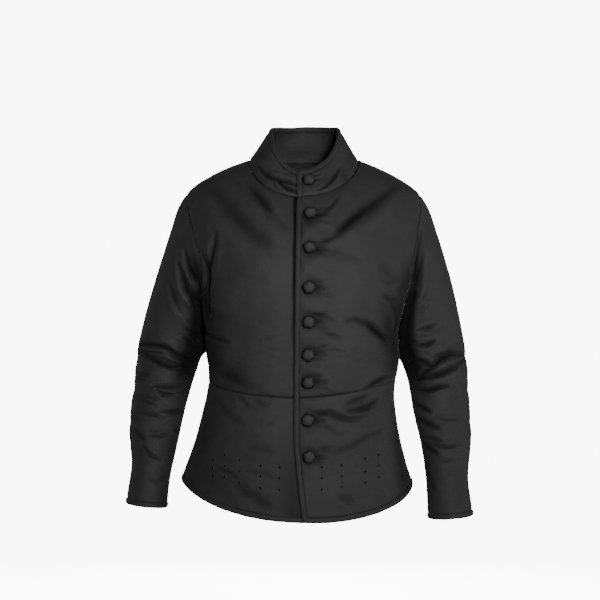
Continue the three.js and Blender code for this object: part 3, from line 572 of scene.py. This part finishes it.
# Wrinkles by side: middle across and up, half width and height, slant, spacing, depth and seed.
FRONT_WRINKLES = {
    "front": [
        (100, -340, 62, 34, -0.16, 13, 0.81, 1.7),
        (148, -262, 24, 42, -0.75, 11, 0.81, 4.1),
        (-148, -292, 26, 46, 0.1, 11, 0.87, 6.3),
        (-112, -368, 58, 30, 0.12, 13, 0.56, 8.9),
        (34, -320, 38, 120, -0.06, 12, 0.5, 12.2),
        (84, -112, 56, 36, 0.72, 17, 0.62, 14.6),
        (-72, -98, 48, 36, -0.62, 17, 0.62, 16.4),
        (70, -210, 60, 50, 0.3, 22, 0.43, 19.8),
        (-80, -220, 60, 60, -0.2, 22, 0.37, 21.1),
    ],
}
BACK_WRINKLES = {
    "back": [
        (0, -350, 120, 30, 0.04, 13, 1.2, 2.6),
        (120, -270, 34, 60, 0.7, 13, 1.1, 5.2),
        (-120, -270, 34, 60, -0.7, 13, 1.1, 7.4),
        (0, -180, 110, 80, 0.1, 24, 0.7, 9.6),
    ],
    "left": [
        (10, -330, 50, 40, 0.1, 12, 1.0, 3.5),
    ],
    "right": [
        (10, -330, 50, 40, -0.1, 12, 1.0, 4.5),
    ],
}
BODY_LUMPS = [(1.3, 60, 60, 75, 3.1), (0.8, 26, 26, 22, 11.7), (0.35, 17, 17, 7, 23.9)]
# Each button sits in a dimple of its own and pulls the cloth in along its hole, with short strains beside it.
BUTTON_ROW = 11  # across, with the heights of the buttons on the fronts
BUTTON_HEIGHTS = (-102, -161, -230, -289, -346, -394, -460, -523)
BUTTON_STRAINS = []
for number, z in enumerate(BUTTON_HEIGHTS):
    x, sway = BUTTON_ROW, math.sin(2.1 * number)
    BUTTON_STRAINS += [
        (3.8, 13, [(x, z)]),
        (2.4, 4, [(x + 4, z), (x + 22, z - 1), (x + 34, z - 2)]),
        (1.6, 3, [(x + 10, z + 8), (x + 34 + 9 * sway, z + 14 + 3 * sway)]),
        (1.4, 3, [(x + 10, z - 8), (x + 38 - 8 * sway, z - 15 + 4 * sway)]),
        (1.2, 3.5, [(x - 38, z + 3 * sway), (-48 - 8 * sway, z + 2 + 5 * sway)]),
    ]
FRONT_FOLDS["front"] += BUTTON_STRAINS
LAP_FREE = -45  # the under front stays flat beyond this, beneath the lap
# Heights and places across of the lap's edge, in millimetres.
LAP_HEIGHTS, LAP_EDGE = (-624, -546, -460, -304, -79), (0, -7, -14, -17.4, -15.7)


def clear_of_lap(points):
    return np.clip((LAP_FREE - points[:, 0] / MM) / 14, 0, 1)


def beside_lap(points):
    """Painted shadow on the narrow strip of the under front that lies in the corner beside the lap."""
    edge = np.interp(points[:, 2] / MM, LAP_HEIGHTS, LAP_EDGE)
    return 1 - np.clip((edge + 1.5 - points[:, 0] / MM) / 1.8, 0, 1) ** 2


PRESSED_FROM, PRESSED_TO = -200, -368  # the heights between which the sleeves rest against the body
BODY_SLACK, SLEEVE_SLACK = 3.5, 7  # how far each bulges there


def pressed(points, facing_out, sideways, fullness):
    """The slack that bulges towards the other piece where a sleeve rests against the body."""
    up = (points[:, 2] / MM - PRESSED_TO) / (PRESSED_FROM - PRESSED_TO)
    span = np.clip(5 * up, 0, 1) * np.clip(5 * (1 - up), 0, 1)
    return fullness * MM * span * np.clip(sideways * 1.6 - 0.4, 0, 1)


def against_sleeves(points, facing_out):
    return pressed(points, facing_out, np.abs(facing_out[:, 0]), BODY_SLACK)


def shaded_by_sleeves(points, facing_out):
    """The sides of the body that the hanging sleeves keep from the light."""
    up = np.interp(points[:, 2] / MM, (-400, -368, -205, -165), (0, 1, 1, 0))
    return 0.9 * up * np.clip(3.5 * np.abs(facing_out[:, 0]) - 2.2, 0, 1)


FORWARD, BACKWARD = (0, -1), (0, 1)
BODY_RADIUS = 150  # the weave's round size, in millimetres
front_left, front_right, back = (
    dress(
        node, BODY_LINE, BODY_RADIUS, folds, wrinkles, BODY_LUMPS,
        tuck=1.1, turned=turned, hold=hold, swell=against_sleeves, painted_shade_of=shaded_by_sleeves,
    )
    for node, folds, wrinkles, turned, hold in (
        ("front_left", FRONT_FOLDS, FRONT_WRINKLES, FORWARD, None),
        ("front_right", FRONT_FOLDS, FRONT_WRINKLES, FORWARD, clear_of_lap),
        ("back", BACK_FOLDS, BACK_WRINKLES, BACKWARD, None),
    )
)

# ------------------------------------------------------------------ skirt
# Three flared panels of the same cloth, sewn to the bodice round the waist and hanging free over the hips.
SKIRT_FOLDS = {
    "front": [
        (2.8, 4, [(74, -437), (92, -429), (114, -422)]),
        (4.6, 4, [(78, -446), (97, -444), (114, -441), (133, -429)]),
        (3.8, 4.2, [(22, -448), (48, -448), (66, -456), (83, -460), (104, -460)]),
        (1.6, 3, [(34, -463), (48, -477), (66, -484), (86, -480)]),
        (2.2, 4, [(66, -513), (92, -503), (111, -491), (142, -482)]),
        (2.2, 5, [(62, -591), (76, -596), (93, -603)]),
        (1.2, 5, [(28, -508), (59, -515), (83, -512)]),
        (2.4, 4, [(-9, -449), (-30, -449), (-45, -458), (-62, -470)]),
        (2.0, 4, [(-114, -418), (-104, -429), (-94, -439)]),
        (2.2, 3, [(-85, -427), (-73, -432), (-59, -435)]),
        (1.4, 6, [(-149, -430), (-128, -456), (-104, -468)]),
        (2.6, 3, [(-152, -544), (-133, -551), (-114, -562)]),
        (1.6, 6, [(-97, -508), (-62, -512), (-31, -525)]),
        (3.2, 6, [(-17, -494), (-16, -532), (-14, -574)]),
        (2.4, 10, [(-114, -577), (-69, -603), (-21, -621)]),
        (1.6, 4, [(-97, -550), (-69, -553), (-38, -567)]),
        (0.9, 9, [(-166, -425), (-171, -477), (-184, -532)]),
    ],
    "back": [
        (3.2, 20, [(90, -430), (104, -494), (110, -560)]),
        (3.2, 20, [(-84, -430), (-90, -494), (-104, -556)]),
        (2.2, 18, [(8, -440), (2, -503), (2, -566)]),
    ],
    "left": [
        (2.9, 18, [(20, -430), (29, -495), (30, -560)]),
    ],
    "right": [
        (2.9, 18, [(26, -430), (34, -495), (34, -560)]),
    ],
}
SKIRT_WRINKLES = {
    "front": [
        (88, -448, 58, 26, -0.14, 12, 0.85, 1.2),
        (-92, -442, 52, 26, 0.2, 12, 0.59, 3.9),
        (62, -588, 80, 28, -0.05, 11, 0.45, 6.6),
        (-80, -588, 80, 28, 0.05, 11, 0.45, 9.1),
    ],
    "back": [
        (0, -440, 130, 24, 0.0, 13, 0.65, 5.5),
        (0, -580, 130, 30, 0.05, 14, 0.39, 7.7),
    ],
}
SKIRT_LUMPS = [(1.4, 55, 55, 70, 3.1), (0.7, 24, 24, 20, 11.7), (0.3, 17, 17, 8, 23.9)]
SKIRT_FOLDS["front"] += BUTTON_STRAINS


def shaded_by_lap(points, facing_out):
    """Below the last button the lap stands off a little and shades the panel beside it."""
    low = np.interp(points[:, 2] / MM, (-600, -520, -440), (1, 0.6, 0))
    return 0.5 * low * np.exp(-(((points[:, 0] / MM + 12) / 26) ** 2))


SKIRT_RADIUS = 160
skirt_left, skirt_right, skirt_back = (
    dress(
        node, BODY_LINE, SKIRT_RADIUS, SKIRT_FOLDS, SKIRT_WRINKLES, SKIRT_LUMPS,
        tuck=0.5, turned=turned, hold=hold, painted_shade_of=painted_shade_of,
    )
    for node, turned, hold, painted_shade_of in (
        ("skirt_front_left", FORWARD, None, None),
        ("skirt_front_right", FORWARD, clear_of_lap, shaded_by_lap),
        ("skirt_back", BACKWARD, None, None),
    )
)

# ------------------------------------------------------------------ sleeves
# Each sleeve is an upper and an under piece of the twill, seamed along the front and back of the arm and set
# into the armhole. The arm hangs a little bent, so the cloth creases inside the elbow and gathers below it.
SLEEVE_LINES = {
    "right": [
        (-203, 12, -171), (-213, 24, -221), (-225, 30, -280), (-233, 33, -312), (-241, 32, -346),
        (-252, 17, -411), (-263, -6, -481), (-267, -28, -548), (-275, -43, -607), (-278, -48, -640),
    ],
    "left": [
        (207, 12, -174), (215, 26, -222), (225, 33, -281), (231, 35, -314), (237, 34, -348),
        (248, 17, -413), (255, -6, -483), (258, -28, -546), (260, -41, -599), (263, -48, -650),
    ],
}
SLEEVE_FOLDS = {
    "right": {
        "front": [
            (6.0, 4.4, [(-301, -334), (-268, -333), (-243, -338), (-224, -352), (-190, -370)]),
            (6.0, 4.4, [(-299, -336), (-276, -352), (-254, -363), (-231, -370), (-209, -374), (-186, -384)]),
            (-2.2, 6, [(-276, -341), (-254, -349), (-229, -363)]),
            (4.2, 4, [(-209, -163), (-202, -191), (-191, -220)]),
            (6.0, 5.5, [(-221, -188), (-207, -231), (-191, -256), (-172, -284)]),
            (2.4, 5, [(-239, -216), (-232, -245), (-218, -273)]),
            (5.5, 8, [(-196, -173), (-184, -223), (-177, -277), (-175, -338)]),
            (4.5, 7, [(-193, -252), (-190, -291), (-186, -334)]),
            (4.0, 5, [(-208, -306), (-193, -316), (-177, -331)]),
            (2.6, 3, [(-302, -384), (-290, -386), (-274, -384)]),
            (2.2, 2.6, [(-302, -395), (-293, -395), (-281, -395)]),
            (3.4, 3.6, [(-264, -404), (-243, -406), (-225, -406), (-200, -404)]),
            (3.2, 3, [(-261, -411), (-248, -420), (-227, -421)]),
            (2.2, 2.2, [(-296, -427), (-274, -434), (-260, -439)]),
            (1.6, 2.2, [(-292, -423), (-271, -425), (-257, -430)]),
            (3.4, 3.2, [(-252, -449), (-229, -451), (-203, -453)]),
            (2.6, 2.6, [(-288, -453), (-266, -454), (-243, -463)]),
            (2.4, 3, [(-309, -456), (-300, -460), (-289, -468)]),
            (2.2, 2.6, [(-272, -482), (-258, -484), (-244, -482)]),
            (2.8, 3, [(-272, -490), (-254, -492), (-237, -490)]),
            (2.6, 4, [(-304, -480), (-292, -489), (-279, -501)]),
            (2.8, 3, [(-285, -509), (-269, -525), (-248, -533)]),
            (2.4, 4, [(-226, -482), (-215, -496), (-208, -513)]),
            (1.8, 4, [(-273, -564), (-256, -571), (-238, -567)]),
        ],
        "back": [
            (4.2, 9, [(-210, -330), (-241, -333), (-270, -344)]),
            (3.4, 8, [(-216, -380), (-249, -382), (-280, -392)]),
            (2.7, 8, [(-226, -440), (-256, -442), (-286, -450)]),
            (2.3, 8, [(-236, -500), (-263, -501), (-290, -508)]),
            (3.0, 12, [(-190, -200), (-219, -221), (-240, -250)]),
        ],
        "right": [
            (1.5, 9, [(0, -352), (31, -355), (60, -366)]),
            (1.2, 8, [(-10, -410), (21, -413), (50, -424)]),
            (1.1, 8, [(-30, -468), (-2, -470), (24, -480)]),
        ],
    },
    "left": {
        "front": [
            (5.0, 7, [(212, -131), (207, -177), (202, -225), (195, -263), (190, -309)]),
            (6.0, 8, [(197, -245), (188, -284), (186, -327), (197, -381)]),
            (2.8, 3.5, [(208, -307), (224, -304), (240, -297)]),
            (4.0, 3.5, [(204, -334), (222, -333), (238, -325)]),
            (
                6.0,
                5,
                [(200, -402), (218, -383), (233, -370), (247, -356), (265, -349), (283, -349), (301, -354)],
            ),
            (5.4, 3.6, [(204, -397), (229, -390), (250, -383), (270, -374), (293, -359)]),
            (-1.8, 5, [(229, -381), (254, -370), (283, -358)]),
            (4.4, 4, [(193, -361), (211, -361), (231, -367)]),
            (5.2, 3.6, [(200, -414), (225, -413), (245, -406), (262, -404)]),
            (4.2, 4, [(189, -430), (210, -442), (227, -451)]),
            (3.8, 4, [(199, -461), (221, -472), (244, -480)]),
            (3.0, 2.8, [(212, -496), (231, -497), (250, -502)]),
            (3.2, 2.8, [(222, -504), (240, -509), (257, -511), (280, -509)]),
            (4.2, 4, [(206, -504), (222, -514), (239, -525)]),
            (1.8, 2.2, [(241, -461), (259, -463), (280, -463)]),
            (1.8, 2.6, [(239, -533), (255, -535), (274, -531)]),
            (2.0, 4, [(214, -550), (224, -567), (231, -588)]),
        ],
        "back": [
            (4.2, 9, [(210, -330), (241, -333), (270, -344)]),
            (3.4, 8, [(214, -382), (246, -384), (276, -394)]),
            (2.7, 8, [(222, -444), (253, -445), (284, -452)]),
            (2.3, 8, [(226, -506), (255, -506), (284, -512)]),
            (3.0, 12, [(190, -200), (211, -229), (240, -250)]),
        ],
        "left": [
            (1.5, 9, [(0, -354), (31, -357), (60, -368)]),
            (1.2, 8, [(-10, -412), (21, -415), (50, -426)]),
            (1.1, 8, [(-30, -470), (-2, -472), (24, -482)]),
        ],
    },
}
SLEEVE_WRINKLES = {
    "right": {
        "front": [
            (-240, -350, 48, 34, -0.35, 11, 0.95, 1.1),
            (-262, -440, 40, 62, 0.02, 12, 0.65, 2.9),
            (-200, -262, 24, 64, -1.05, 12, 0.65, 5.0),
            (-270, -570, 40, 46, 0.05, 14, 0.3, 7.2),
            (-236, -250, 30, 60, -1.2, 18, 0.3, 8.8),
        ],
        "back": [
            (-240, -350, 48, 50, 0.2, 13, 0.75, 9.5),
            (-260, -470, 48, 70, 0.1, 13, 0.5, 11.5),
        ],
        "right": [
            (10, -380, 60, 60, 0.1, 14, 0.4, 13.5),
        ],
    },
    "left": {
        "front": [
            (240, -362, 48, 36, 0.33, 11, 0.95, 1.9),
            (254, -455, 40, 64, -0.05, 12, 0.65, 3.7),
            (204, -268, 24, 64, 1.1, 12, 0.6, 5.8),
            (258, -575, 40, 46, -0.05, 14, 0.3, 7.9),
            (236, -250, 30, 60, 1.2, 18, 0.3, 9.8),
        ],
        "back": [
            (240, -350, 48, 50, -0.2, 13, 0.75, 10.5),
            (256, -470, 48, 70, -0.1, 13, 0.5, 12.5),
        ],
        "left": [
            (10, -380, 60, 60, 0.1, 14, 0.4, 14.5),
        ],
    },
}
SLEEVE_LUMPS = [(1.1, 45, 45, 60, 5.3), (0.8, 34, 34, 22, 14.1), (0.4, 20, 20, 8, 31.3)]
SLEEVE_RADIUS = 50
# Under the arm: heights between which the sleeve lies against the body, and how far inwards from its middle
# line the painted shade begins. The right arm hangs closer, and shades more of its sleeve.
UNDER_ARM = {"right": ((-430, -372, -215, -160), 0.22), "left": ((-425, -378, -270, -190), 0.38)}
for side, inward in (("right", 1), ("left", -1)):

    def against_body(points, facing_out, inward=inward):
        return pressed(points, facing_out, facing_out[:, 0] * inward, SLEEVE_SLACK)

    def under_the_arm(points, facing_out, inward=inward, side=side):
        """The cloth under the arm sees no light, so it is painted towards black as shade."""
        heights, start = UNDER_ARM[side]
        up = np.interp(points[:, 2] / MM, heights, (0, 1, 1, 0))
        foot, _ = along_line(points, SLEEVE_LINES[side])
        aside = (points - foot)[:, 0] * inward / (SLEEVE_RADIUS * MM)
        return up * np.clip((aside - start) / 0.4, 0, 1)

    for half in ("upper", "under"):
        sleeve = dress(
            f"sleeve_{half}_{side}", SLEEVE_LINES[side], SLEEVE_RADIUS,
            SLEEVE_FOLDS[side], SLEEVE_WRINKLES[side], SLEEVE_LUMPS,
            tuck=1.0, turned=(-inward, 0) if half == "upper" else (inward, 0),
            swell=against_body, painted_shade_of=under_the_arm,
        )

# ------------------------------------------------------------------ collar
# A standing collar cut in one curved band of the twill, sewn to the neck line and closed by one button. Its
# ends lap, and the cloth buckles a little where it is drawn to the button.
COLLAR_FOLDS = {
    "front": [
        (3.2, 3, [(28, -58), (41, -51), (52, -41), (60, -29), (66, -17)]),
        (5.4, 3.8, [(-81, -13), (-71, -24), (-57, -34), (-43, -39), (-26, -43), (-5, -51)]),
        (4.8, 3.4, [(-43, -41), (-35, -50), (-24, -56), (-5, -63)]),
        (-1.2, 3, [(-52, -43), (-40, -53), (-28, -62)]),
        (1.6, 2, [(2, -29), (15, -32), (31, -30)]),
        (1.4, 2, [(3, -37), (17, -39), (34, -37)]),
        (1.6, 7, [(73, -20), (79, -37), (73, -55)]),
    ],
    "back": [
        (1.2, 9, [(-40, 20), (5, 21), (50, 16)]),
    ],
    "left": [
        (1.2, 9, [(-30, 0), (-1, 13), (30, 20)]),
    ],
    "right": [
        (1.2, 9, [(-30, 0), (-1, 13), (30, 20)]),
    ],
}
COLLAR_WRINKLES = {
    "front": [
        (40, -40, 40, 26, 0.6, 11, 0.8, 2.2),
        (-45, -42, 40, 26, -0.5, 10, 1.0, 4.4),
    ],
    "back": [
        (0, 20, 60, 22, 0.0, 12, 0.6, 6.6),
    ],
}
COLLAR_LUMPS = [(0.8, 30, 30, 30, 7.7), (0.4, 14, 14, 9, 15.2)]
COLLAR_RADIUS = 85
collar = dress(
    "collar", BODY_LINE, COLLAR_RADIUS, COLLAR_FOLDS, COLLAR_WRINKLES, COLLAR_LUMPS,
    edge_reach=6, turned=FORWARD,
)

# ------------------------------------------------------------------ bindings
# Bias strips of the twill, folded over the raw edges and felled down: front edges, hem, collar top and cuffs.
# Bent round the edge on the bias, they lie rounded and slightly puckered.
PUCKER, PUCKER_LENGTH = 0.35, 6
FULLNESS = 1.0  # the rolled strip swells over the line where it meets the cloth
BINDING_WEAR, BINDING_SHADE = 0.15, 0.15
# How far the strips run on over each other where they meet at the side seams of the hem, in millimetres.
HEM_ENDS = {"binding_hem_back": -4, "binding_front_left": 4, "binding_front_right": 4}
HEM_TOP, HEM_END_REACH = -540, 12
for edge in ("front_left", "front_right", "hem_back", "collar", "cuff_left", "cuff_right"):
    node = f"binding_{edge}"
    strip, _ = cloth_copy(node, softness=0.1, levels=2)
    mesh = strip.data
    points, normals = read_points(mesh), read_points(mesh, "normals")
    puckers = [(PUCKER, PUCKER_LENGTH, PUCKER_LENGTH, PUCKER_LENGTH, 9.3), (0.5, 22, 22, 22, 2.2)]
    wave = unevenness(points, puckers)
    points = points + normals * (wave + FULLNESS * MM)[:, None]
    if node in HEM_ENDS:
        meeting = np.clip(1 - np.abs(points[:, 1]) / (HEM_END_REACH * MM), 0, 1)
        meeting *= points[:, 2] < HEM_TOP * MM
        points[:, 1] += HEM_ENDS[node] * MM * meeting
    write_points(mesh, points)
    set_value(mesh, EDGE, np.full(len(points), BINDING_WEAR))
    shaded = np.full(len(points), BINDING_SHADE)
    if node == "binding_front_left":  # painted shade on its right side, where it drops into the corner beside the lap
        shaded += np.clip(-3.5 * normals[:, 0] - 2.45, 0, 0.8)
    set_value(mesh, PAINTED_SHADE, shaded)
    foot, run = along_line(points, BODY_LINE)
    weave_map(mesh, foot, run, BODY_RADIUS, FORWARD)
    mesh.materials.clear()
    mesh.materials.append(twill)
    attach(strip, "root")
    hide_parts(node)

# ------------------------------------------------------------------ buttons
# Balls of the twill gathered over a core and sewn tight underneath, each on a short shank. The gathers run up
# the sides in uneven pleats, and the top is a little lumpy where they end.
SMALL_PIECE_RADIUS = 140


def new_piece(name, bm):
    mesh = bpy.data.meshes.new(name)
    bm.to_mesh(mesh)
    bm.free()
    mesh.shade_smooth()
    piece = bpy.data.objects.new(name, mesh)
    bpy.context.scene.collection.objects.link(piece)
    return piece


def finish_piece(piece, material, worn=0.2, creased=None):
    """Gives a small piece its weave, its wear, its material and its body."""
    points = read_points(piece.data)
    set_value(piece.data, EDGE, np.full(len(points), worn))
    set_value(piece.data, PAINTED_SHADE, np.zeros(len(points)) if creased is None else creased)
    foot, run = along_line(points, BODY_LINE)
    weave_map(piece.data, foot, run, SMALL_PIECE_RADIUS, FORWARD)
    piece.data.materials.clear()
    piece.data.materials.append(material)
    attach(piece, "root")


BUTTON_NODES = ["button_collar"] + [f"button_{k}" for k in range(1, 9)]
PLEATS = (6, 7, 5, 6, 5, 7, 6, 5, 6)  # how many each button has
PLEAT_DEPTH, TOP_LUMP, TOP_RISE = 0.15, 0.10, 0.12  # as shares of the radius
TURNED_TO_FRONT = Matrix.Rotation(math.radians(90), 4, "X")
for number, node in enumerate(BUTTON_NODES):
    low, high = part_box(node)
    middle, half = (low + high) / 2, (high - low) / 2
    bm = bmesh.new()
    bmesh.ops.create_uvsphere(bm, u_segments=48, v_segments=24, radius=1.0)
    shaded = []
    for vert in bm.verts:
        x, y, z = vert.co
        turn = math.atan2(y, x) + 1.3 * number
        side = math.sqrt(max(0.0, 1 - z * z))
        pleat = abs(math.sin(0.5 * PLEATS[number] * turn + 0.9 * math.sin(turn + number))) ** 0.6
        low_part = min(1.0, max(0.0, (0.99 - z) / 0.5))
        lump = noise.noise(Vector((x * 1.6, y * 1.6, z + number * 3.3)))
        size = 1 - PLEAT_DEPTH * (1 - pleat) * low_part * side + TOP_LUMP * lump
        neck = 1 - 0.5 * min(1.0, max(0.0, (-0.25 - z) / 0.75))
        vert.co = Vector((x * size * neck, y * size * neck, z * (1 + TOP_RISE * lump)))
        # Painted shade: each button is darkened away from its crown towards the cloth, and in the hollows
        # between its pleats.
        shaded.append(max(min(1.0, max(0.0, (0.76 - z) / 0.35)), 0.8 * (1 - pleat) * low_part))
    place = Matrix.Translation(middle) @ Matrix.Diagonal((half.x, half.y, half.z, 1)) @ TURNED_TO_FRONT
    bmesh.ops.transform(bm, verts=bm.verts, matrix=place)
    button = new_piece(node + "_covered", bm)
    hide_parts(node)
    finish_piece(button, twill, creased=np.array(shaded))

# ------------------------------------------------------------------ sewing thread
# Buttonholes worked in thread round a cut, eyelets worked round a pierced hole, and a row of small stitches
# along the waist seam. The waxed black linen thread is 0.7 mm thick and blacker than the rubbed cloth, so
# the stitches show as small dark marks.
thread_black = woven_cloth("waxed black linen thread", "#121213", "#19191a", "#29292a", 0.8, 0.05, 0.3)
# Painted shade: a near-black sheet that stands for the shadowed inside of the garment, seen through a pierced
# hole or along a buttonhole's cut.
dark_hole = plain_material(
    "unlit hole", {"Base Color": linear("#050505"), "Roughness": 1.0, "Specular IOR Level": 0.0}
)


def surface_of(pieces):
    bm = bmesh.new()
    for piece in pieces:
        bm.from_mesh(piece.data)
    tree = BVHTree.FromBMesh(bm)
    bm.free()
    return tree


def standing(place, normal, along):
    """A matrix that puts a small shape at a place, its Z on the normal and its X along a direction."""
    z = normal.normalized()
    x = (along - along.dot(z) * z).normalized()
    return Matrix.Translation(place) @ Matrix((x, z.cross(x), z)).transposed().to_4x4()


THREAD = 0.7


def add_stitch(bm, place, normal, along, length, width=THREAD):
    """One stitch: a small rounded bead of thread lying along a direction, half sunk in the cloth."""
    size = Matrix.Diagonal((length * MM / 2, width * MM / 2, width * MM * 0.45, 1))
    bmesh.ops.create_icosphere(bm, subdivisions=1, radius=1.0, matrix=standing(place, normal, along) @ size)


over_front = surface_of([front_left, skirt_left, collar])
AWAY = Vector((0, 1, 0))


def on_front(tree, x, z):
    """The place and normal of the outer surface that is seen from the front at x, z, in millimetres."""
    place, normal, _, _ = tree.ray_cast(Vector((x * MM, -1.0, z * MM)), AWAY)
    return place, normal


HOLE_LENGTH = 26  # in millimetres, like the next six
HOLE_TO_RIGHT = 5  # how far the hole runs past the button's middle towards the edge
STITCH_STEP, STITCH_AWAY = 1.1, 1.5
HOLE_STITCH, HOLE_THREAD = 2.3, 0.9
HOLE_SHUT = 1.3  # the width of the cut between its stitches
bm, cuts = bmesh.new(), bmesh.new()
for node in BUTTON_NODES:
    low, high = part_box(node)
    x, z = (low.x + high.x) / 2 / MM, (low.z + high.z) / 2 / MM
    for k in range(int(HOLE_LENGTH / STITCH_STEP)):
        at = x - HOLE_TO_RIGHT + k * STITCH_STEP
        for above in (-1, 1):
            place, normal = on_front(over_front, at, z + above * STITCH_AWAY - 0.05 * (at - x))
            if place:
                lean = Vector((0.12 * math.sin(7.3 * k + above), 0, 1))
                add_stitch(bm, place, normal, lean, HOLE_STITCH + 0.3 * math.sin(3.1 * k), HOLE_THREAD)
    # A near-black strip along the cut is painted shade for the slit.
    place, normal = on_front(over_front, x + HOLE_LENGTH / 2 - HOLE_TO_RIGHT, z - 0.6)
    if place:
        along = Vector((1, 0, -0.05))
        add_stitch(cuts, place + normal * 0.1 * MM, normal, along, HOLE_LENGTH - 2, HOLE_SHUT)
    for above in (-1.4, 0, 1.4):  # the bar that closes the hole's end
        place, normal = on_front(over_front, x - HOLE_TO_RIGHT + HOLE_LENGTH, z - 1.0 + above)
        if place:
            add_stitch(bm, place, normal, Vector((0.2, 0, 1)), 2.6, 1.1)
finish_piece(new_piece("buttonhole_stitches", bm), thread_black, 0.2)
finish_piece(new_piece("buttonhole_cuts", cuts), dark_hole, 0.0)

# Eyelets in threes, one set over the other, for tying on hose and leg harness.
EYELETS = [  # across, and the heights of the three, in millimetres
    (-156, -532, -546, -560),
    (-135, -522, -541, -560),
    (-109, -530, -549, -569),
    (-72, -539, -557, -577),
    (-39, -541, -560, -580),
    (34, -540, -559, -579),
    (69, -538, -557, -575),
    (110, -528, -550, -569),
    (134, -523, -541, -561),
]
EYELET_RING, EYELET_CORD = 2.2, 0.7
skirt_surface = surface_of([skirt_left, skirt_right])
rings, holes = bmesh.new(), bmesh.new()
for column, (x, *heights) in enumerate(EYELETS):
    for row, z in enumerate(heights):
        place, normal = on_front(skirt_surface, x, z)
        if place is None:
            continue
        turned = standing(place, normal, Vector((1, 0, 0.2 * math.sin(5 * column + row))))
        start = bmesh.ops.create_circle(
            rings,
            segments=8,
            radius=EYELET_CORD * MM,
            matrix=turned @ Matrix.Translation((EYELET_RING * MM, 0, 0.1 * MM)) @ TURNED_TO_FRONT,
        )["verts"]
        edges = list({edge for vert in start for edge in vert.link_edges})
        bmesh.ops.spin(
            rings,
            geom=start + edges,
            cent=place,
            axis=turned.to_3x3().col[2],
            angle=2 * math.pi,
            steps=24,
            use_merge=True,
        )
        # A near-black disc in each ring is painted shade for the hole.
        bmesh.ops.create_circle(
            holes,
            cap_ends=True,
            segments=16,
            radius=(EYELET_RING - 0.2) * MM,
            matrix=turned @ Matrix.Translation((0, 0, 0.35 * MM)),
        )
bmesh.ops.remove_doubles(rings, verts=rings.verts, dist=0.005 * MM)
bmesh.ops.recalc_face_normals(rings, faces=rings.faces)
finish_piece(new_piece("eyelet_stitches", rings), thread_black, 0.2)
finish_piece(new_piece("eyelet_holes", holes), dark_hole, 0.0)


WAIST_STEP, WAIST_STITCH, ABOVE_SEAM = 4.2, 2.6, 3.2
SEAM_GAP = 3.5  # a corner this near to the neighbour, in millimetres, is on their seam
WAIST_RADIUS = 170


def edge_run(node, neighbour, spacing):
    """Places along a body piece's outer edge where it meets its neighbour, in order round the body."""
    tree = surface_of([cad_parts[neighbour]])
    chosen = {}
    for corner in corners_of[node]:
        if tree.find_nearest(corner, SEAM_GAP * MM)[0] is None:
            continue
        radius = math.hypot(corner.x, corner.y)
        key = round(math.atan2(corner.x, -corner.y) * WAIST_RADIUS / spacing)
        if key not in chosen or radius > math.hypot(chosen[key].x, chosen[key].y):
            chosen[key] = corner
    return [chosen[key] for key in sorted(chosen)]


bm = bmesh.new()
for node, cloth in (("front_left", front_left), ("front_right", front_right), ("back", back)):
    line = edge_run(node, f"skirt_{node}", WAIST_STEP)
    tree = surface_of([cloth])
    for a, b in zip(line, line[1:]):
        if (b - a).length > 3 * WAIST_STEP * MM:
            continue
        place, normal, _, _ = tree.find_nearest((a + b) / 2 + Vector((0, 0, ABOVE_SEAM * MM)))
        add_stitch(bm, place, normal, b - a, WAIST_STITCH)
finish_piece(new_piece("waist_stitches", bm), thread_black, 0.3)
